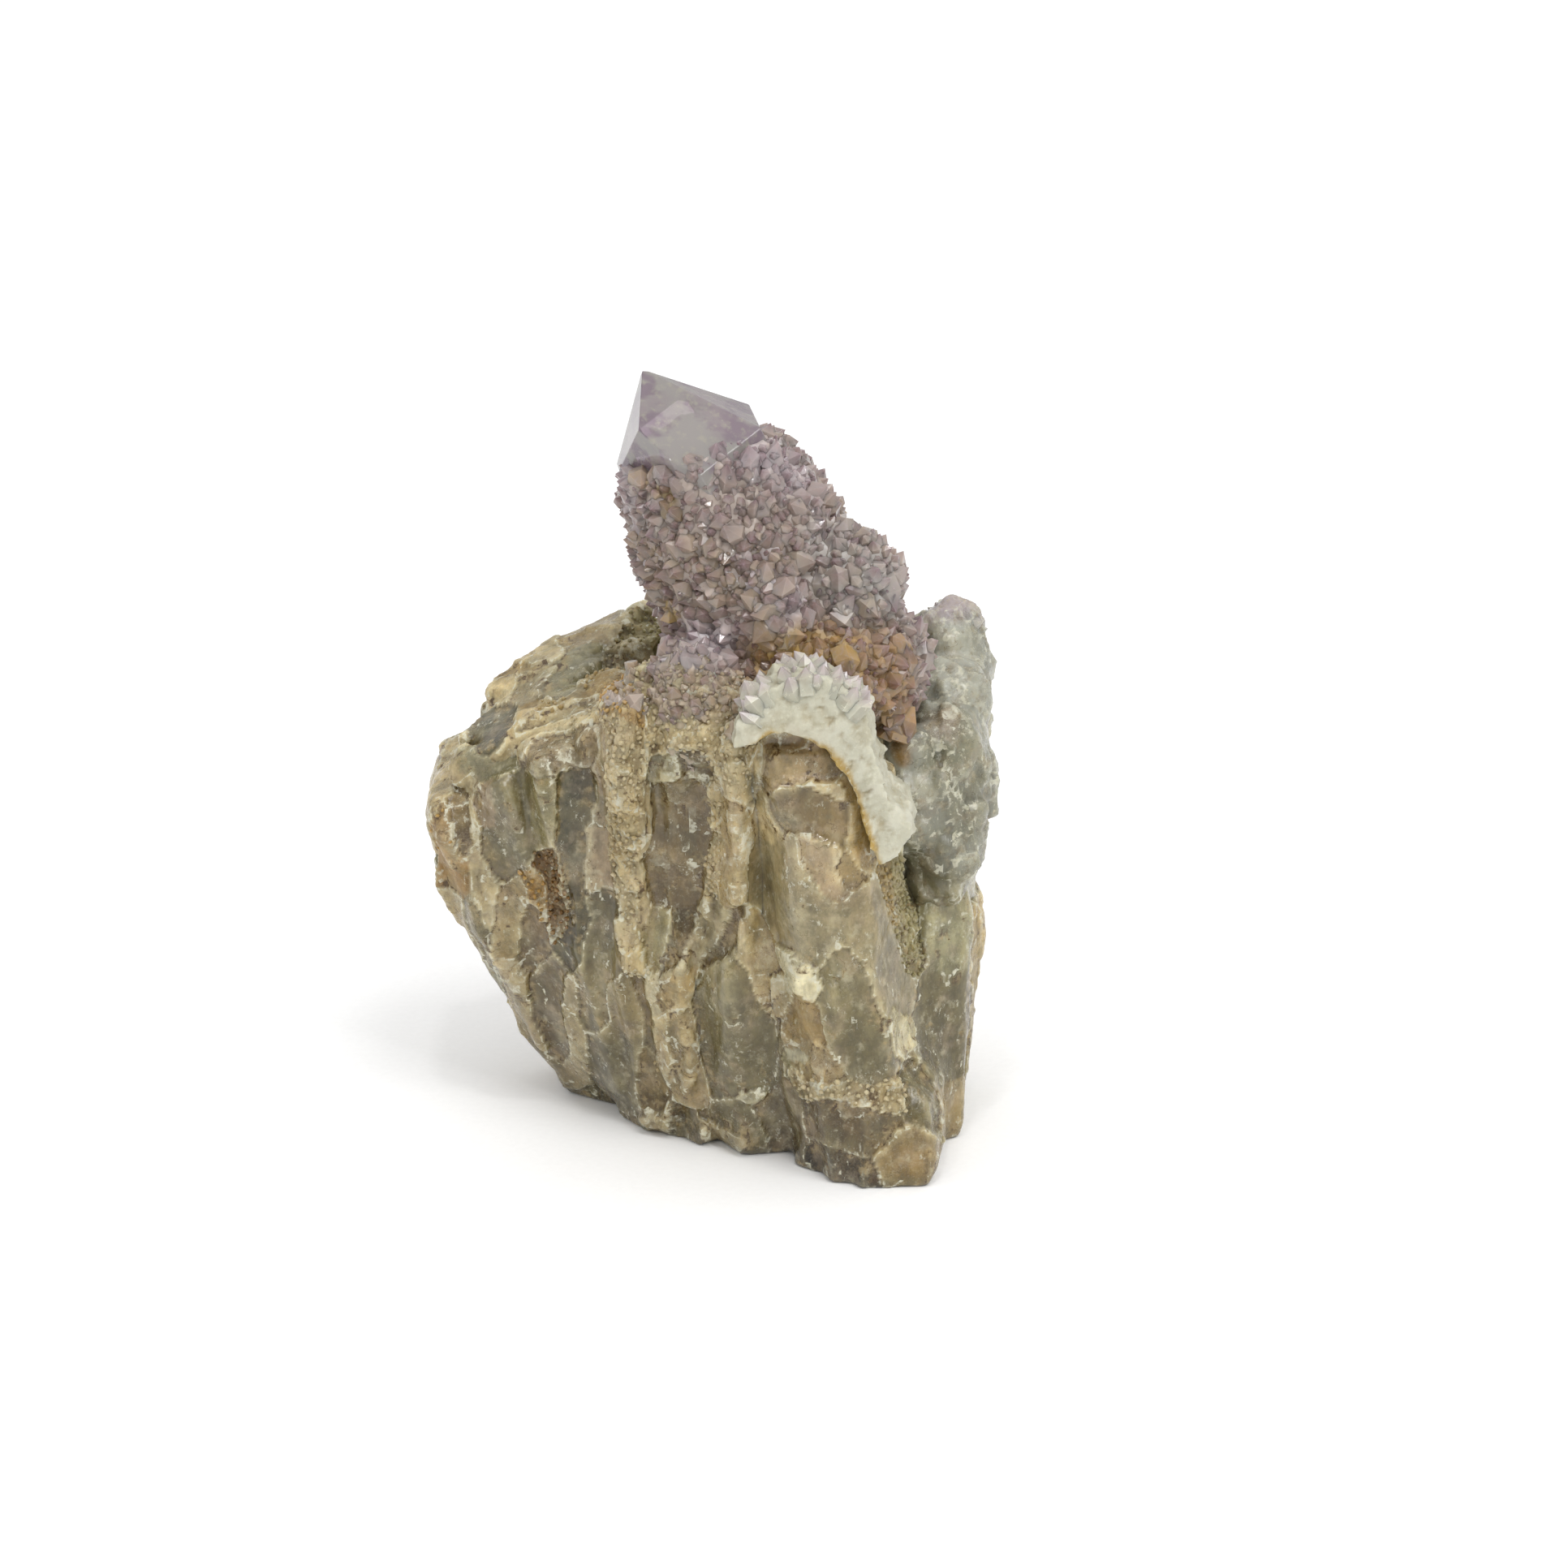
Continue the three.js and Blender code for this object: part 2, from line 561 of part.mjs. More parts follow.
// Assembly: the growths are cut clear of the base that they stand on and of each other
const ground = solidOf(new THREE.BoxGeometry(200, 200, 40).translate(0, 0, -20));
const random = randomFrom(2024);
const sidePlates = Array.from({ length: PLATES.count }, () => sidePlate(random));
const base = mainBody(
  joined([...COLUMNS.map(columnSolid), ...TOP_STEPS.map(stepSolid), ...sidePlates])
    .subtract(joined(SCARS.map(scarSolid)))
    .subtract(ground),
);
const onBase = (solids) => mainBody(joined(solids).subtract(grown(base)));

const amethyst = onBase([
  druseSolid(spireGeometry(), 5),
  clearTip(CLEAR_TIP),
  ...growthSolids(AMETHYST_GROWTHS, DRUSE_RELIEF),
  ...BIG_POINTS.map(quartzPoint),
]);
const pale = mainBody(onBase(growthSolids(PALE_GROWTHS, PALE_RELIEF)).subtract(grown(amethyst)));
const rind = mainBody(
  onBase([rindBand(RIND), ...rindTeeth(RIND)]).subtract(grown(amethyst)).subtract(grown(pale)),
);

const stone = (color, roughness) =>
  new THREE.MeshStandardMaterial({ color, roughness, metalness: 0 });

const group = new THREE.Group();
for (const [name, solid, material] of [
  ["quartz_base", base, stone(0xa39b86, 0.55)],
  ["amethyst_spire", amethyst, stone(0x9a8a94, 0.25)],
  ["pale_crystals", pale, stone(0xb9bdb4, 0.3)],
  ["white_rind", rind, stone(0xcfcdc2, 0.5)],
]) {
  const mesh = new THREE.Mesh(geometryOf(solid), material);
  mesh.name = name;
  group.add(mesh);
}

export default group;
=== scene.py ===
"""Looks of a cactus quartz cluster.

Broken columns of milky quartz carry a leaning amethyst crystal with a clear tip. A coat of small
outward-pointing quartz points covers the amethyst and its rounded growths, two paler coated
crystals stand on its right, and a white sugary rind hooks over the stump of the front crystal.
Sizes and places in the classes are millimetres. The meshes are in metres, where the solids are.
"""

import logging
import math
from collections.abc import Callable, Iterator
from contextlib import contextmanager
from dataclasses import dataclass, replace
from enum import Enum

import bmesh
import bpy
import numpy as np
from mathutils import Matrix, Vector


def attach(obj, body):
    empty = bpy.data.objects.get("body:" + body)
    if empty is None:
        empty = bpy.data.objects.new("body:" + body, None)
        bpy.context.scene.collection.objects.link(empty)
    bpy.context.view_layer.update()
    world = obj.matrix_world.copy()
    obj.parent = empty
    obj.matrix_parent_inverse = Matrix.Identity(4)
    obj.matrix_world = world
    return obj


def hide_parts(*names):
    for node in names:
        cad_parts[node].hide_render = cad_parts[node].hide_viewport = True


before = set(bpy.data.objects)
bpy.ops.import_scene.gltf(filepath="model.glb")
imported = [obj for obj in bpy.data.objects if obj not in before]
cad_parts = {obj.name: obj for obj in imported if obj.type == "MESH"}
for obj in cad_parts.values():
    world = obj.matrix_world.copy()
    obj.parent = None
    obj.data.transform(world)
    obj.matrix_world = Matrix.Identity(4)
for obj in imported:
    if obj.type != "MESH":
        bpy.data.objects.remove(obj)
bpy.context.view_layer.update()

MM = 0.001
QUARTZ_INDEX = 1.54
LOWEST_STEP = 0.05
FARTHEST_EDGE = 3.0
FAR = 99.0
Triple = tuple[float, float, float]
Pair = tuple[float, float]
Array = np.ndarray
Socket = bpy.types.NodeSocket
Ball = tuple[Triple, float]
log = logging.getLogger("cactus_quartz")


class Tone(Enum):
    """Colours of the quartz and of its stains, as red, green and blue on a screen."""

    MILK = (0.80, 0.79, 0.71)
    SUGAR = (0.80, 0.77, 0.65)
    CREAM = (0.72, 0.66, 0.52)
    STRAW = (0.66, 0.59, 0.43)
    TAN = (0.57, 0.50, 0.34)
    OLIVE = (0.53, 0.50, 0.35)
    GREEN_GREY = (0.54, 0.53, 0.42)
    STONE_GREY = (0.56, 0.52, 0.41)
    SLATE = (0.27, 0.26, 0.17)
    LENS = (0.44, 0.41, 0.29)
    SMOKY = (0.42, 0.36, 0.24)
    DUSK = (0.32, 0.27, 0.17)
    BLUSH = (0.64, 0.57, 0.47)
    AMBER = (0.62, 0.47, 0.20)
    GOLD = (0.73, 0.60, 0.27)
    RUST = (0.42, 0.30, 0.13)
    MAUVE = (0.67, 0.61, 0.57)
    LILAC = (0.71, 0.66, 0.67)
    PLUM = (0.50, 0.40, 0.44)
    UMBER_MAUVE = (0.66, 0.52, 0.32)
    HONEY = (0.60, 0.51, 0.32)
    ICE = (0.73, 0.73, 0.67)
    PEARL = (0.73, 0.71, 0.69)
    VIOLET = (0.62, 0.55, 0.60)

    def linear(self) -> Array:
        """Return the tone as the linear numbers that a shader works with."""
        screen = np.array(self.value)
        return np.where(screen <= 0.04045, screen / 12.92, ((screen + 0.055) / 1.055) ** 2.4)


def tinted(colour: Array, goal: Array, share: Array) -> Array:
    """Return linear colours, one a row, moved towards a goal by a share each."""
    return colour + share[:, None] * (goal - colour)


def eased(share: Array) -> Array:
    """Return shares from 0 to 1 that start and end gently."""
    return share * share * (3 - 2 * share)


def stepped(border: Array, ramp: float, own: Array, beyond: Array) -> Array:
    """Let two levels meet in a short slope.

    Args:
        border: The distance to the border between them, in millimetres.
        ramp: How far the slope reaches on each side.
        own: The level on this side.
        beyond: The level on the far side.

    Returns:
        The heights in millimetres.
    """
    share = 0.5 + 0.5 * eased(np.clip(border / ramp, 0, 1))
    return share * own + (1 - share) * beyond


@contextmanager
def edited(mesh: bpy.types.Mesh) -> Iterator[bmesh.types.BMesh]:
    """Open a mesh for changes, and write them back at the end.

    Args:
        mesh: The mesh.

    Yields:
        Its corners, edges and faces under work.
    """
    work = bmesh.new()
    work.from_mesh(mesh)
    yield work
    work.to_mesh(mesh)
    work.free()


def cut_through(work: bmesh.types.BMesh, place: Vector, normal: Vector) -> list[bmesh.types.BMEdge]:
    """Cut off what lies beyond a plane.

    Args:
        work: The mesh under work.
        place: A place on the plane.
        normal: The direction in which it is cut off.

    Returns:
        The edges of the cut.
    """
    parts = [*work.verts, *work.edges, *work.faces]
    rim = bmesh.ops.bisect_plane(
        work, geom=parts, plane_co=place, plane_no=normal, clear_outer=True
    )["geom_cut"]
    return [part for part in rim if isinstance(part, bmesh.types.BMEdge)]


def placed(name: str, data: bpy.types.ID) -> bpy.types.Object:
    """Put a mesh, a light or a camera into the scene."""
    thing = bpy.data.objects.new(name, data)
    bpy.context.scene.collection.objects.link(thing)
    return thing


@dataclass(frozen=True)
class Patch:
    """A stretch of surface from start to end that has a tone of its own."""

    name: str
    tone: Tone
    start: Triple
    end: Triple
    radius: float
    grain: float = 0.2
    lift: float = 0.0

    def pressed(self, press: Array) -> "Patch":
        """Return the patch with its ends moved by a matrix."""
        ends = (tuple(np.array(place) @ press) for place in (self.start, self.end))
        return replace(self, start=next(ends), end=next(ends))

    def away(self, points: Array) -> Array:
        """Return each place's distance in millimetres from the line from start to end."""
        start, end = np.array(self.start), np.array(self.end)
        run = end - start
        along = np.clip((points - start) @ run / max(run @ run, 1e-9), 0, 1)
        return np.linalg.norm(points - start - np.outer(along, run), axis=1)


@dataclass(frozen=True)
class PatchMap:
    """The patches of a surface over a tone that shows where there are none."""

    background: Tone
    patches: tuple[Patch, ...]
    background_weight: float = 0.10
    background_grain: float = 0.35

    def read(self, points: Array) -> tuple[Array, Array]:
        """Mix the patches at some points.

        Args:
            points: Places in millimetres, one a row.

        Returns:
            The linear colours and the graininess, from 0 for glassy to 1 for sugary.
        """
        total = np.full(len(points), self.background_weight)
        colour = np.outer(total, self.background.linear())
        grain = total * self.background_grain
        for patch in self.patches:
            weight = np.exp(-1.6 * (patch.away(points) / patch.radius) ** 3)
            total += weight
            colour += np.outer(weight, patch.tone.linear())
            grain += weight * patch.grain
        return colour / total[:, None], grain / total


@dataclass(frozen=True)
class SolidNoise:
    """Repeatable noise in space."""

    seed: int

    def hashed(self, cells: Array, channel: int = 0) -> Array:
        """Give each whole-numbered cell a value.

        Args:
            cells: Whole numbers, three a row.
            channel: Which of several independent values to give.

        Returns:
            Values from 0 to 1.
        """
        wide = cells.astype(np.int64)
        mixed = wide[..., 0] * 73856093 ^ wide[..., 1] * 19349663 ^ wide[..., 2] * 83492791
        mixed = (mixed ^ (self.seed * 2654435 + channel * 97531)) & 0xFFFFFFFF
        mixed = ((mixed ^ (mixed >> 15)) * 73244475) & 0xFFFFFFFF
        mixed = ((mixed ^ (mixed >> 13)) * 40503 * 2654435) & 0xFFFFFFFF
        return ((mixed ^ (mixed >> 16)) & 0xFFFF) / 65535.0

    def smooth(self, points: Array, size: float, channel: int = 0) -> Array:
        """Give smooth noise.

        Args:
            points: Places in millimetres, one a row.
            size: Distance between humps in millimetres.
            channel: Which of several independent values to give.

        Returns:
            Values from -1 to 1.
        """
        scaled = points / size
        low = np.floor(scaled)
        part = eased(scaled - low)
        value = np.zeros(len(points))
        for corner in np.ndindex(2, 2, 2):
            share = np.prod(np.where(corner, part, 1 - part), axis=1)
            value += share * self.hashed(low + corner, channel)
        return 2 * value - 1

    def fractal(self, points: Array, size: float, octaves: int = 3) -> Array:
        """Add up ever finer noise.

        Args:
            points: Places in millimetres, one a row.
            size: Distance between the largest humps in millimetres.
            octaves: How many sizes there are, each half the one before.

        Returns:
            Values that mostly lie from -1 to 1.
        """
        layers = (self.smooth(points + 37.7 * n, size / 2**n, n) / 2**n for n in range(octaves))
        return sum(layers) / 1.4


def along_columns(points: Array) -> Array:
    """Straighten the fan of columns, so that what follows them is upright.

    Args:
        points: Places in millimetres, one a row.

    Returns:
        The places with x and y taken down the columns to their feet.
    """
    height = points[:, 2]
    foot_x = (points[:, 0] + 0.08 * height) / (1 + 0.0085 * height)
    return np.column_stack([foot_x, points[:, 1] + 0.07 * height, height])


@dataclass(frozen=True)
class FlakeReading:
    """What a layer of flakes says about each point of a surface.

    It holds the height over the plain surface, the distance to the flake's border, how far the
    surface drops there, and a number from 0 to 1 that is the flake's own.
    """

    height: Array
    border: Array
    drop: Array
    lot: Array

    def faded(self, share: Array) -> "FlakeReading":
        """Return the reading with heights and drops brought down to a share."""
        return replace(self, height=self.height * share, drop=self.drop * share)


@dataclass(frozen=True)
class Flakes:
    """Broken flakes: cells of a warped pattern, each lifted, tilted and hollowed a little.

    A lift is in millimetres, a tilt and a bowl are shares of the size. The warp is how far the
    borders stray, the ramp how wide the slope at a border is, in millimetres.
    """

    size: float
    stretch: float
    lift: float
    tilt: float
    bowl: float
    warp: float
    ramp: float
    seed: int
    fanned: bool = True
    flat_share: float = 0.0

    def level(self, noise: SolidNoise, cell: Array, offset: Array) -> Array:
        """Give the height of flakes.

        Args:
            noise: The noise that the flakes draw their numbers from.
            cell: The cells of the flakes, one a row.
            offset: How far from the flake's seed each point lies, in cells.

        Returns:
            The heights in millimetres.
        """
        lot = noise.hashed(cell, 20)
        slope = np.column_stack([noise.hashed(cell, 30 + axis) - 0.5 for axis in range(3)])
        tilt = self.tilt * self.size * np.sum(2 * slope * offset, axis=1)
        hollow = self.bowl * self.size * (np.sum(offset**2, axis=1) - 0.2) * np.sign(lot - 0.35)
        return np.where(lot < self.flat_share, 0, self.lift * (2 * lot - 1) + tilt + hollow)

    def read(self, points: Array) -> FlakeReading:
        """Find the flake at each point.

        Args:
            points: Places in millimetres, one a row.

        Returns:
            What the flakes say there.
        """
        noise = SolidNoise(self.seed)
        stray = [noise.fractal(points + 91.3 * n, self.warp * 3) for n in range(3)]
        warped = points + self.warp * np.column_stack(stray)
        upright = along_columns(warped) if self.fanned else warped
        scaled = upright / (np.array([1, 1, self.stretch]) * self.size)
        home = np.floor(scaled)
        near, second = np.full((2, len(points)), FAR)
        nearest, runner_up = np.zeros((2, 2, *scaled.shape))
        for step in np.ndindex(3, 3, 3):
            cell = home + np.array(step) - 1
            jitter = np.column_stack([noise.hashed(cell, 10 + axis) for axis in range(3)])
            offset = scaled - (cell + 0.1 + 0.8 * jitter)
            found = np.stack([cell, offset])
            away = np.linalg.norm(offset, axis=1)
            closer = away < near
            next_best = ~closer & (away < second)
            runner_up[:, closer] = nearest[:, closer]
            runner_up[:, next_best] = found[:, next_best]
            nearest[:, closer] = found[:, closer]
            second = np.where(closer, near, np.where(next_best, away, second))
            near = np.where(closer, away, near)
        border = (second - near) * self.size * 0.5
        own, beyond = (self.level(noise, *held) for held in (nearest, runner_up))
        return FlakeReading(
            height=stepped(border, self.ramp, own, beyond),
            border=border,
            drop=own - beyond,
            lot=noise.hashed(nearest[0], 20),
        )


@dataclass(frozen=True)
class PanelReading:
    """What the panels say about each point of a surface.

    It holds the linear colour, the graininess, the height over the plain surface, the distance
    to the panel's border, and how far the surface drops there.
    """

    tone: Array
    grain: Array
    height: Array
    border: Array
    drop: Array


@dataclass(frozen=True)
class Panels:
    """Broken faces with jagged edges: the named patches, with loose flakes between them.

    The patches are known from the front, so distances along the view count for less. Their
    tones blur into each other a little, and the jag is how far their borders stray.
    """

    patches: tuple[Patch, ...]
    loose: Flakes
    loose_tones: tuple[Tone, ...]
    loose_grain: float = 0.3
    reach: float = 2.2
    ramp: float = 0.55
    jag: float = 0.95
    blur: float = 1.1
    hardness: float = 0.62
    through: Triple = (0, 0.94, -0.342)
    through_share: float = 0.4
    seed: int = 17

    def nearest(self, points: Array) -> tuple[Array, ...]:
        """Find the two patches that lie nearest to each point.

        Args:
            points: Places in millimetres, one a row.

        Returns:
            The distances from the rims of the two, their places in the list, and the sum of
            the tones of all patches nearby with the sum of their weights.
        """
        press = np.eye(3) - (1 - self.through_share) * np.outer(self.through, self.through)
        pressed_points = points @ press
        near, second = np.full((2, len(points)), FAR)
        own, beyond = np.zeros((2, len(points)), int)
        mixed = np.zeros((len(points), 4))
        for index, patch in enumerate(self.patches):
            away = patch.pressed(press).away(pressed_points) - patch.radius
            weight = np.exp(-((np.clip(away, 0, None) / self.blur) ** 2))
            mixed += weight[:, None] * np.append(patch.tone.linear(), 1.0)
            closer = away < near
            next_best = ~closer & (away < second)
            second = np.where(closer, near, np.where(next_best, away, second))
            beyond = np.where(closer, own, np.where(next_best, index, beyond))
            near = np.where(closer, away, near)
            own = np.where(closer, index, own)
        return near, second, own, beyond, mixed

    def read(self, points: Array) -> PanelReading:
        """Find the panel at each point.

        Args:
            points: Places in millimetres, one a row.

        Returns:
            What the panels say there.
        """
        noise = SolidNoise(self.seed)
        torn = along_columns(points) * np.array([1, 1, 0.5])
        stray = [noise.fractal(torn + 23.0 * n, 3.4, 5) for n in range(3)]
        near, second, own, beyond, mixed = self.nearest(points + self.jag * np.column_stack(stray))
        loose = self.loose.read(points)
        lifts = np.array([patch.lift for patch in self.patches])
        inside = near < self.reach
        to_patch, to_loose = (second - near) / 2, np.abs(self.reach - near)
        meets_patch = inside & (to_patch < to_loose) & (second < self.reach)
        border = np.where(meets_patch, to_patch, to_loose)
        own_level = np.where(inside, lifts[own], loose.height)
        beyond_level = np.where(inside, loose.height, lifts[own])
        beyond_level = np.where(meets_patch, lifts[beyond], beyond_level)
        drop = own_level - beyond_level
        loose_edge = ~inside & (loose.border < border)
        tones = np.array([patch.tone.linear() for patch in self.patches])
        loose_tones = np.array([tone.linear() for tone in self.loose_tones])
        chosen = np.minimum((loose.lot * len(loose_tones)).astype(int), len(loose_tones) - 1)
        grains = np.array([patch.grain for patch in self.patches])
        plain = np.where(inside[:, None], tones[own], loose_tones[chosen])
        soft = (mixed[:, :3] + 0.3 * plain) / (mixed[:, 3:] + 0.3)
        return PanelReading(
            tone=self.hardness * plain + (1 - self.hardness) * soft,
            grain=np.where(inside, grains[own], self.loose_grain),
            height=stepped(border, self.ramp, own_level, beyond_level),
            border=np.where(loose_edge, loose.border, border),
            drop=np.where(loose_edge, loose.drop, drop),
        )


def nearest_edge(readings: tuple, side: int) -> Array:
    """Measure how near the broken edges are.

    Args:
        readings: What flakes and panels say about the points.
        side: 1 for edges whose far side lies lower, -1 for those whose far side lies higher.

    Returns:
        The distances in millimetres, up to the farthest that counts.
    """
    away = [np.where(side * r.drop > LOWEST_STEP, r.border, FARTHEST_EDGE) for r in readings]
    return np.minimum(np.min(away, axis=0), FARTHEST_EDGE)


class Surface:
    """A mesh under work, whose corners are read and moved all at once, in millimetres."""

    LEAST_AGREEMENT = 0.2

    def __init__(self, mesh: bpy.types.Mesh) -> None:
        """Hold a mesh."""
        self.mesh = mesh
        self.broad: Array | None = None

    @classmethod
    def of_node(
        cls, name: str, node: str, voxel: float, relax: int = 0, fillers: tuple[Ball, ...] = ()
    ) -> "Surface":
        """Copy a solid and divide its surface evenly.

        Args:
            name: The new piece's name.
            node: The solid's node.
            voxel: Edge length of the even division in millimetres.
            relax: How many times the even surface is smoothed.
            fillers: Balls that are merged with the solid to bridge its clefts.

        Returns:
            The copy, one closed surface.
        """
        work = bmesh.new()
        work.from_mesh(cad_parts[node].data)
        bmesh.ops.remove_doubles(work, verts=work.verts, dist=0.005 * MM)
        for place, radius in fillers:
            matrix = Matrix.Translation(Vector(place) * MM)
            bmesh.ops.create_icosphere(work, subdivisions=3, radius=radius * MM, matrix=matrix)
        mesh = bpy.data.meshes.new(name)
        work.to_mesh(mesh)
        work.free()
        body = placed(name + "_work", mesh)
        even = body.modifiers.new("even", "REMESH")
        even.mode = "VOXEL"
        even.voxel_size = voxel * MM
        bpy.context.view_layer.update()
        shown = body.evaluated_get(bpy.context.evaluated_depsgraph_get())
        fine = bpy.data.meshes.new_from_object(shown)
        bpy.data.objects.remove(body)
        surface = cls(fine)
        surface.relax(relax)
        return surface

    def relax(self, times: int) -> None:
        """Smooth the surface a number of times."""
        axes = {f"use_axis_{axis}": True for axis in "xyz"}
        with edited(self.mesh) as work:
            for _ in range(times):
                bmesh.ops.smooth_vert(work, verts=work.verts, factor=0.5, **axes)

    def points(self) -> Array:
        """Return the corners in millimetres, one a row."""
        flat = np.empty(len(self.mesh.vertices) * 3, np.float32)
        self.mesh.vertices.foreach_get("co", flat)
        return flat.reshape(-1, 3).astype(float) / MM

    def normals(self) -> Array:
        """Return the outward directions at the corners, one a row."""
        flat = np.empty(len(self.mesh.vertices) * 3, np.float32)
        self.mesh.vertex_normals.foreach_get("vector", flat)
        return flat.reshape(-1, 3).astype(float)

    def learn_broad_shape(self, rounds: int) -> None:
        """Keep the outward directions that the surface would have after some smoothing."""
        points = self.points()
        self.relax(rounds)
        self.broad = self.normals()
        self.place(points)

    def unfolded_normals(self) -> Array:
        """Return the outward directions, the broad shape's own where a fold turned them over."""
        normals = self.normals()
        if self.broad is None:
            return normals
        folded = (normals * self.broad).sum(axis=1) < self.LEAST_AGREEMENT
        return np.where(folded[:, None], self.broad, normals)

    def place(self, points: Array) -> None:
        """Put the corners at new places in millimetres."""
        self.mesh.vertices.foreach_set("co", (points * MM).astype(np.float32).ravel())
        self.mesh.update()

    def curvature(self, rounds: int) -> Array:
        """Tell ridges from hollows.

        Args:
            rounds: How far round each corner to look, in edges.

        Returns:
            How far each corner stands out of its surroundings, in millimetres.
        """
        edges = np.empty(len(self.mesh.edges) * 2, np.int32)
        self.mesh.edges.foreach_get("vertices", edges)
        one, other = edges.reshape(-1, 2).T
        points = self.points()
        count = np.bincount(edges, minlength=len(points))
        mean = points.copy()
        for _ in range(rounds):
            total = np.zeros_like(mean)
            for axis in range(3):
                total[:, axis] += np.bincount(one, mean[other, axis], len(points))
                total[:, axis] += np.bincount(other, mean[one, axis], len(points))
            mean = total / np.maximum(count, 1)[:, None]
        return np.sum((points - mean) * self.normals(), axis=1)

    def fill_hollows(self, rounds: int, share: float) -> None:
        """Raise what lies deeper than its surroundings by a share of that depth."""
        deep = np.clip(-self.curvature(rounds), 0, None)
        self.place(self.points() + self.normals() * (share * deep)[:, None])

    def paint(self, colours: Array) -> None:
        """Store a linear colour at each corner."""
        layer = self.mesh.attributes.new("tone", "FLOAT_COLOR", "POINT")
        full = np.column_stack([np.clip(colours, 0, 1), np.ones(len(colours))])
        layer.data.foreach_set("color", full.astype(np.float32).ravel())

    def mark(self, values: Array, name: str) -> None:
        """Store a number at each corner."""
        layer = self.mesh.attributes.new(name, "FLOAT", "POINT")
        layer.data.foreach_set("value", values.astype(np.float32))

    def mark_edges(self, *readings: FlakeReading | PanelReading) -> None:
        """Store how near the brinks and the feet of broken edges are."""
        self.mark(nearest_edge(readings, 1), "rim")
        self.mark(nearest_edge(readings, -1), "crease")

    def cut_off(self, place: Vector, normal: Vector) -> None:
        """Cut off what lies beyond a plane and close the cut.

        Args:
            place: A place on the plane, in millimetres.
            normal: The direction in which the surface is cut off.
        """
        with edited(self.mesh) as work:
            bmesh.ops.holes_fill(work, edges=cut_through(work, place * MM, normal))

    def flatten_foot(self) -> None:
        """Keep the surface from reaching under the level on which the specimen stands."""
        points = self.points()
        points[:, 2] = np.maximum(points[:, 2], 0)
        self.place(points)


def finished_piece(
    name: str, mesh: bpy.types.Mesh, material: bpy.types.Material,
    sharp_angle: float | None = None,
) -> bpy.types.Object:
    """Make a mesh a piece of the specimen.

    Args:
        name: The piece's name.
        mesh: Its mesh, in metres and in place.
        material: What it is made of.
        sharp_angle: Edges that bend by more degrees stay sharp. Without it all faces are flat.

    Returns:
        The piece, riding on the specimen's one body.
    """
    mesh.materials.clear()
    mesh.materials.append(material)
    mesh.shade_flat()
    if sharp_angle is not None:
        mesh.shade_smooth()
        mesh.set_sharp_from_angle(angle=math.radians(sharp_angle))
    piece = placed(name, mesh)
    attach(piece, "root")
    log.info("%s: %d faces", name, len(mesh.polygons))
    return piece


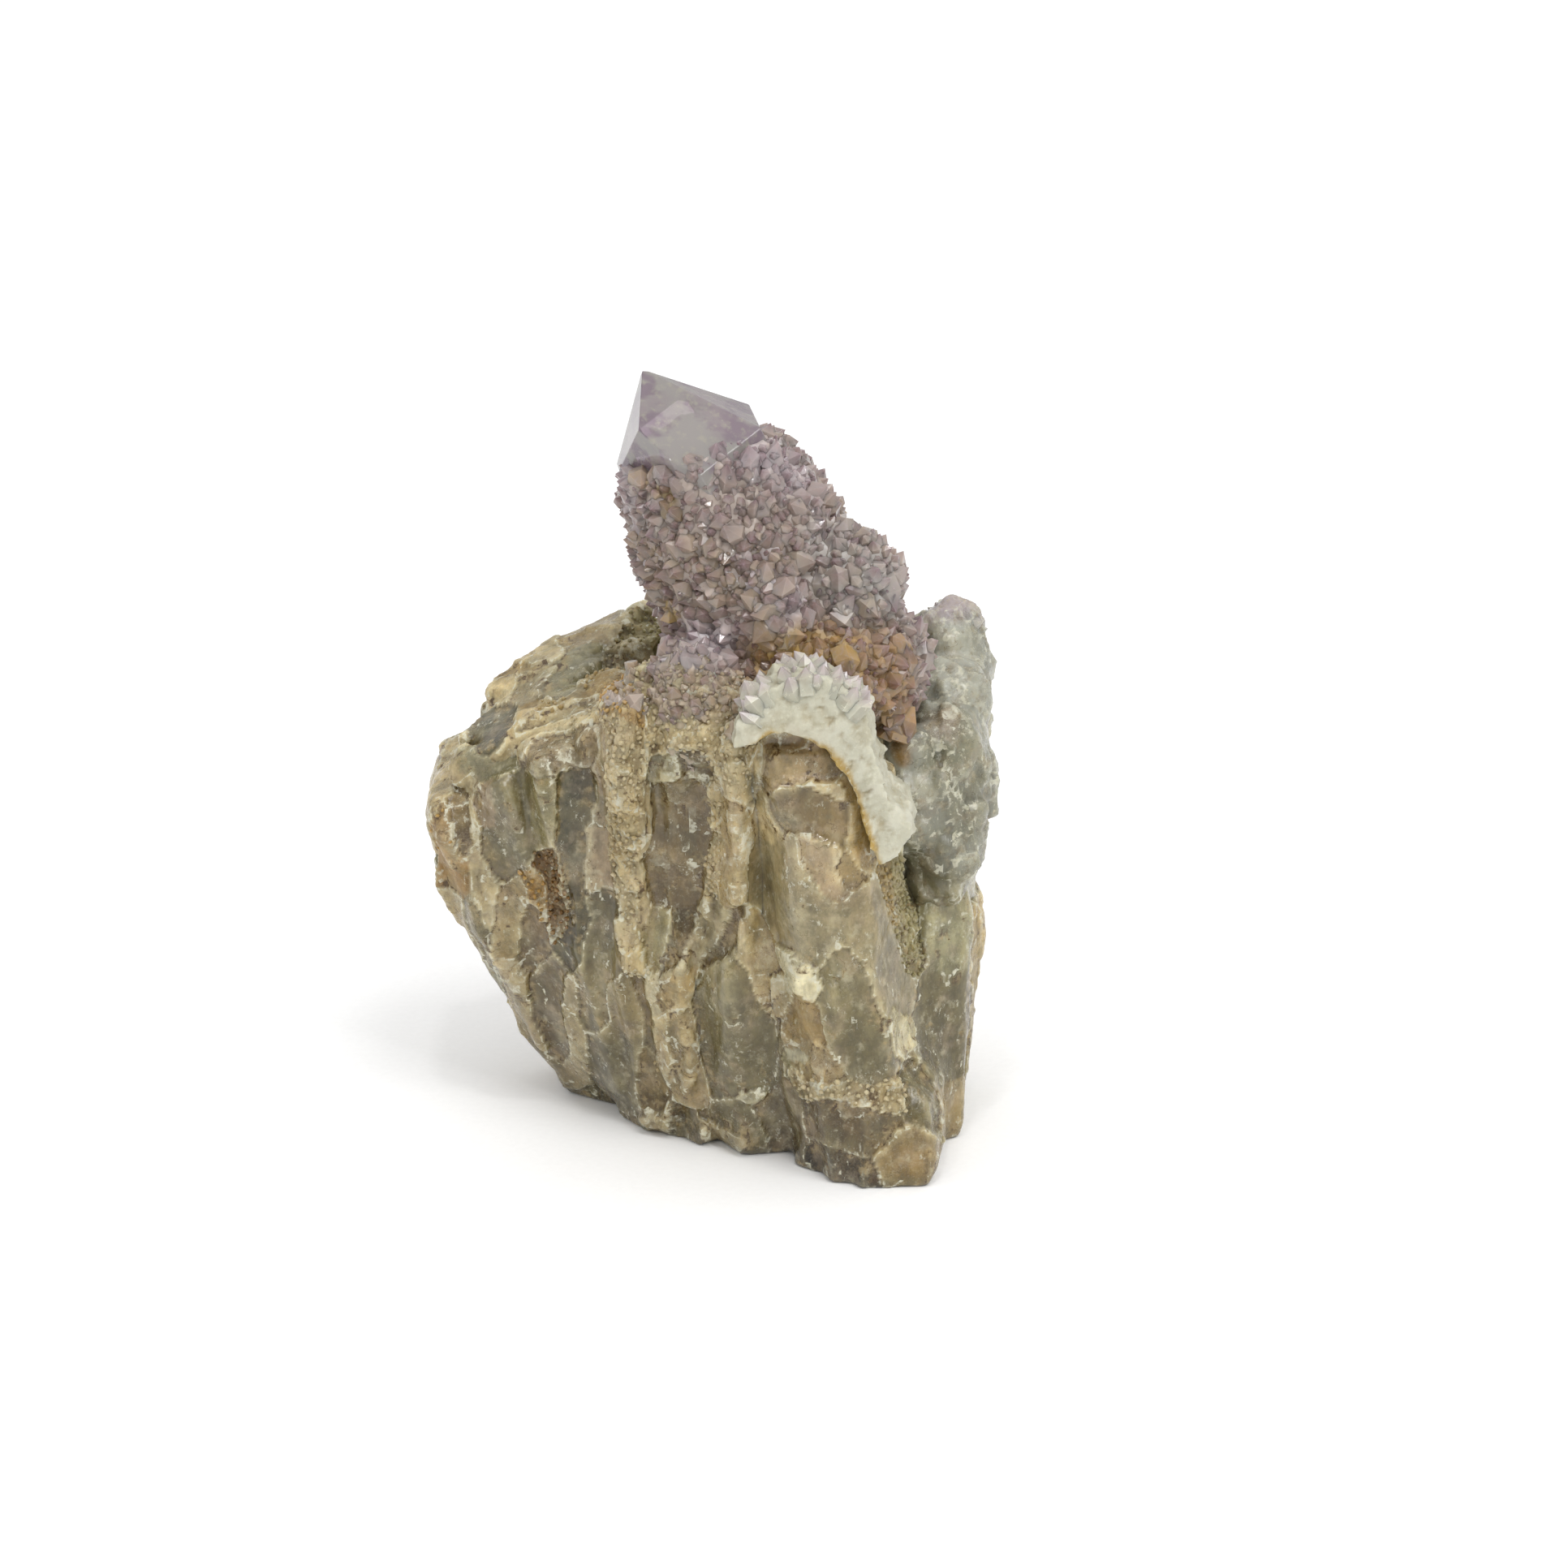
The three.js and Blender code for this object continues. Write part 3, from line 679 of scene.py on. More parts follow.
class Shader:
    """A material whose nodes are added one after another."""

    def __init__(self, name: str) -> None:
        """Start a material with its plain surface shader."""
        self.material = bpy.data.materials.new(name)
        self.material.use_nodes = True
        self.tree = self.material.node_tree
        self.surface = self.tree.nodes["Principled BSDF"]
        self.output = self.tree.nodes["Material Output"]
        self.place = self.node("ShaderNodeTexCoord").outputs["Object"]

    def put(self, node: bpy.types.Node, socket: str | int, value: object) -> None:
        """Set a socket, or join it to an output of another node."""
        if isinstance(value, Socket):
            self.tree.links.new(value, node.inputs[socket])
        else:
            node.inputs[socket].default_value = value

    def node(self, kind: str, sockets: dict | None = None, **settings: object) -> bpy.types.Node:
        """Add a node.

        Args:
            kind: Blender's name for the node.
            sockets: Values or outputs for its sockets.
            **settings: Its settings.

        Returns:
            The new node.
        """
        made = self.tree.nodes.new(kind)
        for name, value in settings.items():
            setattr(made, name, value)
        for socket, value in (sockets or {}).items():
            self.put(made, socket, value)
        return made

    def attribute(self, name: str, output: str = "Color") -> Socket:
        """Return what is stored on the mesh under a name."""
        return self.node("ShaderNodeAttribute", attribute_name=name).outputs[output]

    def speckle(
        self, size: float, detail: float = 3.0, rough: float = 0.55, stretch: Triple = (1, 1, 1)
    ) -> Socket:
        """Add noise in the piece's own space.

        Args:
            size: Distance between its humps in millimetres.
            detail: How many finer layers it has.
            rough: How strong the finer layers are.
            stretch: How much longer the humps are along each axis.

        Returns:
            Its value, from 0 to 1.
        """
        place = self.node(
            "ShaderNodeMapping", {"Vector": self.place, "Scale": [1 / s for s in stretch]}
        ).outputs[0]
        sockets = {"Vector": place, "Scale": 1 / (size * MM), "Detail": detail, "Roughness": rough}
        return self.node("ShaderNodeTexNoise", sockets).outputs["Fac"]

    def between(self, value: Socket, low: float, high: float, to: Pair = (0, 1)) -> Socket:
        """Map a value smoothly from one range to another.

        Args:
            value: The value.
            low: Where the range starts.
            high: Where it ends.
            to: What start and end become.

        Returns:
            The mapped value.
        """
        sockets = {"Value": value, 1: low, 2: high, 3: to[0], 4: to[1]}
        kind = "ShaderNodeMapRange"
        return self.node(kind, sockets, interpolation_type="SMOOTHSTEP").outputs["Result"]

    def math(self, operation: str, one: object, other: object) -> Socket:
        """Return the result of a sum on two values."""
        return self.node("ShaderNodeMath", {0: one, 1: other}, operation=operation).outputs[0]

    def times(self, one: object, other: object) -> Socket:
        """Return the product of two values."""
        return self.math("MULTIPLY", one, other)

    def blend(self, share: object, base: object, over: object, how: str = "MIX") -> Socket:
        """Lay one colour over another.

        Args:
            share: How much of it shows.
            base: The colour below.
            over: The colour on top, or a tone.
            how: The way of mixing.

        Returns:
            The mixed colour.
        """
        made = self.node("ShaderNodeMix", data_type="RGBA", blend_type=how)
        colours = [
            (*value.linear(), 1.0) if isinstance(value, Tone) else value for value in (base, over)
        ]
        for socket, value in zip((0, 6, 7), (share, *colours)):
            self.put(made, socket, value)
        return made.outputs[2]

    def veiled(
        self, colour: object, noise: Socket, span: Pair, shares: Pair, tone: Tone, how: str = "MIX"
    ) -> Socket:
        """Lay a tone over a colour where noise says so.

        Args:
            colour: The colour below.
            noise: The noise.
            span: The values of the noise between which the share changes.
            shares: How much of the tone shows at the first value and at the second.
            tone: The tone on top.
            how: The way of mixing.

        Returns:
            The mixed colour.
        """
        return self.blend(self.between(noise, *span, shares), colour, tone, how)

    def bumped(self, height: object, depth: float, strength: float = 1.0) -> None:
        """Roughen the surface by a height whose full range is a depth in millimetres."""
        sockets = {"Height": height, "Distance": depth * MM, "Strength": strength}
        normal = self.node("ShaderNodeBump", sockets).outputs["Normal"]
        self.put(self.surface, "Normal", normal)

    def finished(self, sockets: dict[str, object]) -> bpy.types.Material:
        """Finish a material of quartz.

        Args:
            sockets: Values or outputs for sockets of the surface shader.

        Returns:
            The material.
        """
        for socket, value in {"IOR": QUARTZ_INDEX, **sockets}.items():
            self.put(self.surface, socket, value)
        return self.material


@dataclass(frozen=True)
class BrokenQuartz:
    """Milky quartz with glassy faces, sugary grain, bright broken rims and stained creases with
    painted shadow.
    """

    name: str = "milky_quartz"
    glassy: float = 0.13
    sugary: float = 0.5
    glow: float = 0.6
    glow_reach: float = 2.4
    clear: float = 0.0
    mottle: float = 1.0

    def material(self) -> bpy.types.Material:
        """Return the material."""
        shader = Shader(self.name)
        grain = shader.attribute("grain", "Fac")
        cloud = shader.speckle(4.2, 5, 0.6, (1, 1, 1.8))
        fine = shader.speckle(0.45, 6, 0.7)
        middling = shader.speckle(1.5, 5, 0.65)
        colour = shader.attribute("tone")
        faint = 0.4 * self.mottle
        colour = shader.veiled(colour, cloud, (0.5, 0.75), (0, 0.3), Tone.SUGAR)
        colour = shader.veiled(colour, cloud, (0.3, 0.5), (faint, 0), Tone.STONE_GREY, "MULTIPLY")
        flush = shader.speckle(3.1, 4, 0.6)
        colour = shader.veiled(colour, flush, (0.5, 0.66), (0, 0.28), Tone.BLUSH)
        colour = shader.veiled(colour, flush, (0.36, 0.48), (faint, 0), Tone.LENS)
        sway = 0.26 * self.mottle
        streak = shader.speckle(1.7, 8, 0.7, (1, 1, 1.4))
        streak = shader.between(streak, 0.34, 0.66, (1 - sway, 1 + sway))
        colour = shader.blend(1.0, colour, streak, "MULTIPLY")
        colour = shader.veiled(colour, middling, (0.52, 0.7), (0, 0.32), Tone.SUGAR)
        dust = shader.times(shader.between(fine, 0.5, 0.75, (0, 0.6)), grain)
        colour = shader.blend(dust, colour, Tone.SUGAR)
        specks = shader.between(shader.speckle(0.9, 6, 0.78, (1, 1, 1.6)), 0.57, 0.63, (0, 0.7))
        specks = shader.times(specks, shader.between(shader.speckle(4.0, 3), 0.46, 0.6))
        colour = shader.blend(specks, colour, Tone.MILK)
        pits = shader.between(shader.speckle(1.5, 5, 0.7), 0.58, 0.66, (0, 0.7))
        pits = shader.times(pits, shader.between(grain, 0.55, 0.9))
        colour = shader.blend(pits, colour, Tone.RUST)
        vein = shader.math("ABSOLUTE", shader.math("SUBTRACT", shader.speckle(7.0, 6, 0.6), 0.5), 0)
        cracks = shader.between(vein, 0.0, 0.006, (0.6, 0))
        cracks = shader.times(cracks, shader.between(cloud, 0.48, 0.56))
        colour = shader.blend(cracks, colour, Tone.HONEY, "MULTIPLY")
        jag = shader.between(fine, 0.3, 0.7, (-0.16, 0.16))
        colour = self.creased(shader, colour, jag, middling)
        colour = self.rimmed(shader, colour, jag, middling)
        rough = shader.between(grain, 0.0, 0.9, (self.glassy, self.sugary))
        rough = shader.math("ADD", rough, shader.between(fine, 0.35, 0.7, (-0.06, 0.14)))
        height = shader.times(fine, shader.between(grain, 0, 1, (0.06, 1.0)))
        broad = shader.times(shader.speckle(2.6, 4, 0.6, (1, 1, 1.7)), 1.6)
        shader.bumped(shader.math("ADD", height, broad), 0.24, 0.8)
        return shader.finished({
            "Base Color": colour,
            "Roughness": rough,
            "Subsurface Weight": self.glow,
            "Subsurface Radius": (1.0, 0.85, 0.6),
            "Subsurface Scale": self.glow_reach * MM,
            "Transmission Weight": self.clear,
        })

    def creased(self, shader: Shader, colour: Socket, jag: Socket, patchy: Socket) -> Socket:
        """Stain the foot of each broken edge and darken it with a line of painted shadow.

        Args:
            shader: The material under work.
            colour: Its colour so far.
            jag: How far the edge strays, in millimetres.
            patchy: Noise that tells where the stain and the painted shadow are strong.

        Returns:
            The stained and shaded colour.
        """
        crease = shader.attribute("crease", "Fac")
        halo = shader.between(crease, 0.2, 1.3, (0.55 * self.mottle, 0))
        halo = shader.times(halo, shader.between(patchy, 0.46, 0.62))
        colour = shader.blend(halo, colour, Tone.HONEY)
        # A dark line at the foot of the edge: rust stain and painted shadow.
        line = shader.math("ADD", crease, jag)
        line = shader.between(line, 0.05, 0.32, (0.85 * self.mottle, 0))
        line = shader.times(line, shader.between(patchy, 0.44, 0.6, (0.1, 1)))
        return shader.blend(line, colour, Tone.RUST, "MULTIPLY")

    def rimmed(self, shader: Shader, colour: Socket, jag: Socket, patchy: Socket) -> Socket:
        """Lighten the brink of each broken edge.

        Args:
            shader: The material under work.
            colour: Its colour so far.
            jag: How far the edge strays, in millimetres.
            patchy: Noise that tells where rims are bright.

        Returns:
            The lightened colour.
        """
        rim = shader.math("ADD", shader.attribute("rim", "Fac"), jag)
        line = shader.between(rim, 0.08, 0.26, (0.95, 0))
        line = shader.times(line, shader.between(patchy, 0.6, 0.4, (0.15, 1)))
        return shader.blend(line, colour, Tone.MILK)


@dataclass(frozen=True)
class CoatQuartz:
    """Glossy small quartz points, partly see-through, each face with a tone of its own."""

    name: str
    roughness: float = 0.1
    clear: float = 0.2
    wisp: Tone = Tone.LILAC
    glow: float = 0.55
    glow_reach: float = 1.5

    def material(self) -> bpy.types.Material:
        """Return the material."""
        shader = Shader(self.name)
        tone = shader.attribute("tone")
        wisp = shader.speckle(0.8, 5, 0.65)
        shade = shader.speckle(1.7, 3)
        colour = shader.veiled(tone, wisp, (0.48, 0.72), (0, 0.45), self.wisp)
        colour = shader.veiled(colour, shade, (0.5, 0.72), (0, 0.25), Tone.BLUSH, "MULTIPLY")
        rough = shader.between(wisp, 0.45, 0.75, (self.roughness, self.roughness + 0.22))
        shader.bumped(wisp, 0.05, 0.5)
        return shader.finished({
            "Base Color": colour,
            "Roughness": rough,
            "Transmission Weight": self.clear,
            "Subsurface Weight": self.glow,
            "Subsurface Radius": (1.0, 0.85, 0.8),
            "Subsurface Scale": self.glow_reach * MM,
        })


@dataclass(frozen=True)
class ClearQuartz:
    """The see-through tip: a faint lavender body with haze in it."""

    name: str = "clear_amethyst"
    clear: float = 0.55
    roughness: float = 0.05
    density: float = 110.0
    swallow: tuple[float, ...] = (0.84, 0.77, 0.85, 1)

    def material(self) -> bpy.types.Material:
        """Return the material."""
        shader = Shader(self.name)
        haze = shader.speckle(5.5, 4, 0.5)
        fine = shader.speckle(1.1, 5, 0.6)
        bands = shader.speckle(3.6, 3, 0.5, (1.6, 1, 1))
        flecks = shader.speckle(0.5, 4, 0.7)
        colour = shader.blend(shader.between(haze, 0.42, 0.56), Tone.PEARL, Tone.LILAC)
        colour = shader.veiled(colour, bands, (0.5, 0.6), (0, 0.9), Tone.VIOLET)
        colour = shader.veiled(colour, fine, (0.5, 0.7), (0, 0.6), Tone.MILK)
        colour = shader.veiled(colour, flecks, (0.68, 0.72), (0, 0.8), Tone.MILK)
        shader.bumped(fine, 0.02, 0.3)
        absorption = {"Color": self.swallow, "Density": self.density}
        volume = shader.node("ShaderNodeVolumeAbsorption", absorption).outputs[0]
        shader.put(shader.output, "Volume", volume)
        return shader.finished({
            "Base Color": colour,
            "Roughness": self.roughness,
            "Transmission Weight": self.clear,
        })


@dataclass(frozen=True)
class RindQuartz:
    """White, sugary broken quartz that glows a little."""

    name: str = "white_quartz"
    roughness: float = 0.42
    roughness_sway: float = 0.14
    glow: float = 0.4
    glow_reach: float = 1.6

    def material(self) -> bpy.types.Material:
        """Return the material."""
        shader = Shader(self.name)
        tone = shader.attribute("tone")
        fine = shader.speckle(0.45, 5, 0.65)
        cloud = shader.speckle(2.6, 4)
        colour = shader.veiled(tone, cloud, (0.48, 0.7), (0, 0.35), Tone.CREAM, "MULTIPLY")
        colour = shader.veiled(colour, fine, (0.5, 0.72), (0, 0.6), Tone.MILK)
        smoothest, roughest = (self.roughness + side * self.roughness_sway for side in (-1, 1))
        shader.bumped(fine, 0.18, 0.8)
        return shader.finished({
            "Base Color": colour,
            "Roughness": shader.between(fine, 0.35, 0.7, (smoothest, roughest)),
            "Subsurface Weight": self.glow,
            "Subsurface Radius": (1.0, 0.9, 0.75),
            "Subsurface Scale": self.glow_reach * MM,
        })


BASE_PATCHES = (
    Patch("far left corner", Tone.CREAM, (-37.5, 7.5, 39), (-36, -4, 39.5), 1.2, 0.3, 0.2),
    Patch("left orange edge", Tone.AMBER, (-35, -5.5, 39), (-34.5, -3.5, 29.5), 0.8, 0.6, 0.0),
    Patch("left smoky panel", Tone.SMOKY, (-34, -4.5, 40), (-33.5, -6.5, 35.5), 1.1, 0.15, -0.2),
    Patch("left tan edge", Tone.STRAW, (-35, 0, 25.5), (-32.5, 3, 19), 1.3, 0.3, 0.1),
    Patch("left lower edge", Tone.LENS, (-32.5, -5, 26), (-30.5, 2.5, 15), 1.2, 0.3, 0.0),
    Patch("left pale rib", Tone.CREAM, (-33, -4, 41.5), (-32, -5.5, 33.5), 0.5, 0.4, 0.2),
    Patch("left rib foot", Tone.CREAM, (-31.5, -5.5, 33), (-31, -4.5, 25), 0.5, 0.5, 0.2),
    Patch("left mauve panel", Tone.BLUSH, (-31.5, -7, 40.5), (-30, -7, 38), 1.1, 0.1, 0.0),
    Patch("left green face", Tone.LENS, (-28.5, -9.5, 41.5), (-30, -5.5, 34), 1.4, 0.05, 0.0),
    Patch("left dark panel", Tone.LENS, (-27, -8, 42), (-27, -8.5, 36), 1.1, 0.1, 0.0),
    Patch("left olive panel", Tone.OLIVE, (-24, -11.5, 43.5), (-24.5, -9, 37), 1.4, 0.25, 0.0),
    Patch("left brown shoulder", Tone.SMOKY, (-24, -10, 47), (-18.5, -10.5, 48), 1.4, 0.3, 0.1),
    Patch("left shoulder rim", Tone.CREAM, (-26, -4.5, 47.5), (-17.5, -7, 50), 0.5, 0.6, 0.2),
    Patch("slate face", Tone.SLATE, (-20.5, -10, 44), (-21.5, -9, 23.5), 1.7, 0.05, -0.45),
    Patch("iron stain", Tone.RUST, (-23.5, -9, 34), (-23, -7.5, 26.5), 1.3, 0.9, -0.3),
    Patch("iron rim", Tone.AMBER, (-25, -7, 31), (-25.5, -6.5, 27), 0.7, 0.8, 0.0),
    Patch("left brown lens", Tone.SMOKY, (-26, -6, 27), (-26.5, -3.5, 20.5), 1.1, 0.1, -0.4),
    Patch("left pale wedge", Tone.TAN, (-27.5, -5.5, 28.5), (-30, -4, 22), 1.0, 0.3, 0.1),
    Patch("left loop", Tone.CREAM, (-29.5, -3, 19.5), (-28, 0.5, 13), 0.8, 0.4, 0.15),
    Patch("low left tan", Tone.STRAW, (-28.5, 3, 9.5), (-25.5, 4, 4.5), 1.6, 0.25, 0.1),
    Patch("low left lens", Tone.SMOKY, (-24, -4.5, 19.5), (-24, 1, 7.5), 1.4, 0.05, -0.2),
    Patch("low pale rim", Tone.CREAM, (-22, -5.5, 19), (-22.5, 2, 5), 0.8, 0.3, 0.15),
    Patch("pitted ridge", Tone.CREAM, (-15.3, -16, 51.5), (-15.6, -13.5, 44), 1.9, 0.9, 0.3),
    Patch("pitted ridge middle", Tone.STRAW, (-15.4, -13, 43), (-15.1, -12, 37), 1.4, 0.9, 0.35),
    Patch("pitted ridge foot", Tone.CREAM, (-14.9, -12, 36), (-14.2, -11, 29), 0.9, 0.9, 0.35),
    Patch("ridge smooth side", Tone.BLUSH, (-17.6, -13, 50), (-18.2, -10, 40), 0.9, 0.1, 0.25),
    Patch("amber pits", Tone.AMBER, (-15.5, -8, 53), (-14.5, -15.5, 53), 1.2, 0.8, 0.3),
    Patch("pit flakes", Tone.MILK, (-15, -8, 53), (-16, -10, 53), 0.5, 0.5, 0.8),
    Patch("tan smooth panel", Tone.BLUSH, (-18.5, -9.5, 38), (-19, -9, 31), 1.2, 0.1, 0.1),
    Patch("grey lens", Tone.LENS, (-19, -9, 28.5), (-19, -7, 16), 2.2, 0.03, -0.2),
    Patch("ridge line", Tone.CREAM, (-15, -11.5, 27.5), (-13.5, -10.5, 22), 0.6, 0.7, 0.5),
    Patch("second lens", Tone.LENS, (-16.5, -10, 17.5), (-16.5, -5, 6.5), 2.4, 0.05, -0.1),
    Patch("lens stain", Tone.TAN, (-13.5, -8, 10.5), (-13.5, -7, 6.5), 0.8, 0.5, -0.3),
    Patch("violet strip", Tone.SMOKY, (-13.5, -10.5, 20.5), (-12.5, -8.5, 11.5), 0.6, 0.1, -0.5),
    Patch("window top notch", Tone.DUSK, (-8.5, -14.5, 47), (-6.5, -14, 46), 0.8, 0.4, -0.6),
    Patch("window pale corner", Tone.GREEN_GREY, (-11.5, -14, 46), (-10, -14.5, 46), 1.2, 0.4, 0.1),
    Patch("smoky window", Tone.SMOKY, (-9.5, -14, 43.5), (-10, -12.5, 33), 3.0, 0.2, -0.8),
    Patch("window left rim", Tone.CREAM, (-13, -13, 44), (-13.5, -11.5, 28.5), 0.5, 0.6, 0.2),
    Patch("window foot", Tone.DUSK, (-9, -11.5, 29), (-10.5, -13.5, 24), 1.2, 0.5, -0.8),
    Patch("window foot left", Tone.OLIVE, (-12, -11.5, 29), (-12, -12, 23.5), 1.0, 0.4, -0.5),
    Patch("window right rim", Tone.CREAM, (-5.5, -15.5, 46), (-5, -15.5, 33.5), 0.5, 0.8, 0.25),
    Patch("tan ridge", Tone.TAN, (-3.5, -18.5, 43.5), (-4, -17.5, 34.5), 1.2, 0.35, 0.3),
    Patch("ridge top", Tone.CREAM, (-3.5, -20, 49), (-2.5, -18.5, 45), 1.2, 0.8, 0.4),
    Patch("ridge stain", Tone.AMBER, (-3, -18.5, 45), (-3, -18.5, 38), 0.4, 0.5, 0.2),
    Patch("grey arm", Tone.STONE_GREY, (-6, -12, 29), (-9.5, -14.5, 23.5), 1.4, 0.6, 0.2),
    Patch("arm foot", Tone.HONEY, (-9, -14, 23), (-10, -13, 19), 1.2, 0.6, 0.2),
    Patch("cleft", Tone.DUSK, (-3, -17.5, 30.5), (-7.5, -12, 21), 0.4, 0.3, -0.9),
    Patch("white flake", Tone.MILK, (-12, -11.5, 21), (-12, -11, 17.5), 0.8, 0.3, 0.3),
    Patch("flake strip", Tone.CREAM, (-11.5, -10.5, 16), (-11, -9.5, 11), 1.1, 0.4, 0.4),
    Patch("low tan panel", Tone.STRAW, (-9, -12, 17), (-8.5, -11, 8.5), 1.2, 0.3, 0.0),
    Patch("green panel", Tone.LENS, (-5, -16, 21.5), (-3.5, -14, 11.5), 3.1, 0.15, -0.1),
    Patch("green flakes", Tone.MILK, (-5.5, -15, 21), (-3.5, -16, 18), 0.7, 0.5, 0.4),
    Patch("low green flakes", Tone.MILK, (-5, -12.5, 9.5), (-2, -13.5, 8.5), 0.8, 0.5, 0.3),
    Patch("fanned panel", Tone.STRAW, (-2, -16, 28.5), (-0.5, -15.5, 22), 1.7, 0.2, 0.1),
    Patch("fan flake", Tone.CREAM, (0.5, -15, 22.5), (1, -15, 21), 0.9, 0.3, 0.4),
    Patch("stump recess", Tone.BLUSH, (1, -21, 49), (6.5, -21, 48.5), 1.1, 0.2, -0.4),
    Patch("recess ledge", Tone.CREAM, (-1.5, -17.5, 48.5), (7.5, -21.5, 47), 0.5, 0.5, 0.4),
    Patch("stump shade", Tone.SMOKY, (3.5, -21.5, 45), (6.5, -21.5, 44.5), 1.8, 0.08, -0.3),
    Patch("stump pale side", Tone.CREAM, (-1, -16, 43.5), (0, -16, 40), 1.3, 0.15, 0.2),
    Patch("front face", Tone.STONE_GREY, (1, -17.5, 36), (5.5, -20.5, 30.5), 3.8, 0.05, 0.2),
    Patch("front tan patch", Tone.BLUSH, (5, -21.5, 39), (7, -21.5, 36.5), 1.8, 0.1, 0.12),
    Patch("front brown oval", Tone.TAN, (8, -21.5, 38.5), (8.5, -21.5, 37), 0.8, 0.1, -0.1),
    Patch("front right face", Tone.STONE_GREY, (10, -21, 32.5), (13, -18.5, 23), 2.7, 0.08, 0.2),
    Patch("front flakes", Tone.MILK, (2.5, -18.5, 27.5), (5.5, -20.5, 24.5), 0.8, 0.4, 0.6),
    Patch("front bruise", Tone.MILK, (3.5, -21, 33), (4, -21, 32), 0.5, 0.4, 0.3),
    Patch("front lower face", Tone.LENS, (8.5, -20.5, 25.5), (10, -20, 17), 2.9, 0.08, 0.1),
    Patch("pale wedge flake", Tone.SUGAR, (13.5, -18, 20), (14, -17, 17), 0.7, 0.3, 0.2),
    Patch("olive grains", Tone.OLIVE, (14.5, -12.5, 33), (16, -12.5, 25.5), 1.7, 1.0, -0.05),
    Patch("yellow grains", Tone.HONEY, (13, -17, 35), (13.5, -15, 30), 0.6, 1.0, -0.1),
    Patch("low orange panel", Tone.HONEY, (4.5, -19.5, 20), (6, -20, 14), 1.3, 0.4, 0.0),
    Patch("orange panel heart", Tone.MILK, (5, -18.5, 15), (5, -19, 15), 0.7, 0.1, 0.0),
    Patch("low ledge", Tone.CREAM, (5, -18.5, 12), (13.5, -20, 10), 0.4, 0.9, 0.1),
    Patch("foot brown", Tone.SMOKY, (7.5, -20, 7.5), (11.5, -21, 6), 2.2, 0.3, -0.2),
    # Painted shadow along the bottom edge of the front.
    Patch("foot painted shadow", Tone.DUSK, (5, -16, 2), (10.5, -21, 2), 0.9, 0.4, -0.3),
    Patch("violet foot", Tone.SMOKY, (0.5, -13, 5.5), (3, -12.5, 0), 2.4, 0.1, -0.1),
    Patch("green foot", Tone.LENS, (-3.5, -12, 5.5), (-1.5, -12.5, 2.5), 1.6, 0.2, 0.1),
    Patch("foot flakes", Tone.CREAM, (-5, -9, 1.5), (-3, -12.5, 2), 0.7, 0.5, 0.3),
    Patch("foot right", Tone.HONEY, (14.5, -20, 3), (18, -19, 0), 2.0, 0.35, 0.1),
    Patch("right corner", Tone.STRAW, (20, -8, 5.5), (21, -7.5, 0.5), 1.6, 0.2, 0.1),
    Patch("right groove", Tone.LENS, (17, -16, 11), (17.5, -19, 8.5), 0.5, 0.2, -0.7),
    Patch("right lower column", Tone.LENS, (19, -10, 19.5), (19.5, -9, 10), 1.7, 0.15, 0.1),
    Patch("right upper column", Tone.GREEN_GREY, (18.5, -8.5, 31.5), (19.5, -9.5, 23), 1.7, 0.3, 0.1),
    Patch("right milky face", Tone.ICE, (16, -5, 39.5), (17, -8, 34), 1.4, 0.4, 0.1),
    Patch("right edge face", Tone.GREEN_GREY, (23.5, 8.5, 32.5), (23, 6, 26.5), 1.4, 0.2, 0.0),
    Patch("right amber bulge", Tone.STRAW, (23, 5.5, 21), (23.5, 8, 13), 1.1, 0.4, 0.1),
    Patch("top cream lump", Tone.CREAM, (-27, 11.5, 51), (-24.5, 11.5, 52), 1.3, 0.4, 0.4),
    Patch("top cream lump two", Tone.CREAM, (-31, 7, 48), (-28.5, 6, 49.5), 1.3, 0.4, 0.3),
    Patch("top ochre", Tone.HONEY, (-29.5, 9.5, 50), (-27.5, 8.5, 50.5), 0.5, 0.5, 0.2),
    Patch("top green panel", Tone.GREEN_GREY, (-23, 2.5, 50.5), (-20.5, 6.5, 52.5), 1.6, 0.1, 0.1),
    Patch("top pale panel", Tone.STONE_GREY, (-27, 4.5, 49.5), (-25, 5.5, 50.5), 1.1, 0.3, 0.2),
    Patch("top streaks", Tone.STONE_GREY, (-26, -4.5, 48.5), (-19, -4.5, 50), 0.6, 0.5, 0.0),
    Patch("top yellow streak", Tone.HONEY, (-27.5, -2.5, 48), (-16.5, 0.5, 52.5), 0.4, 0.7, 0.2),
    Patch("top slate", Tone.SLATE, (-31.5, -0.5, 46), (-29.5, -0.5, 47.5), 1.3, 0.05, -0.3),
    Patch("top ledge", Tone.CREAM, (-36, 4, 40.5), (-26, -7, 47), 0.6, 0.5, 0.25),
    Patch("top ledge shade", Tone.GREEN_GREY, (-32, -4.5, 44.5), (-27.5, -4.5, 45), 0.5, 0.3, 0.2),
    Patch("top far panel", Tone.TAN, (-22.5, 12, 53), (-18, 11, 54.5), 0.9, 0.3, 0.1),
    Patch("junction", Tone.OLIVE, (-16.5, 11, 53), (-14.5, 13.5, 53), 0.8, 0.9, 0.0),
    Patch("junction flakes", Tone.STONE_GREY, (-18, 7, 52), (-15.5, 8.5, 52), 0.9, 0.7, 0.1),
    Patch("left rim corner", Tone.CREAM, (-36.5, 5, 40), (-33.5, 0.5, 45.5), 0.7, 0.4, 0.3),
    Patch("apron pink", Tone.BLUSH, (-9, -13, 58), (-6, -16, 55), 2.2, 1.2, 0.2),
    Patch("apron foot", Tone.CREAM, (-9, -13, 53), (-4, -16.5, 50.5), 1.8, 1.1, 0.2),
    Patch("apron left", Tone.CREAM, (-12, -11, 56), (-12, -12.5, 51), 1.4, 1.2, 0.2),
    Patch("rind stain", Tone.HONEY, (8.6, -21, 48), (10.8, -21.5, 39), 0.25, 0.4, 0.0),
)


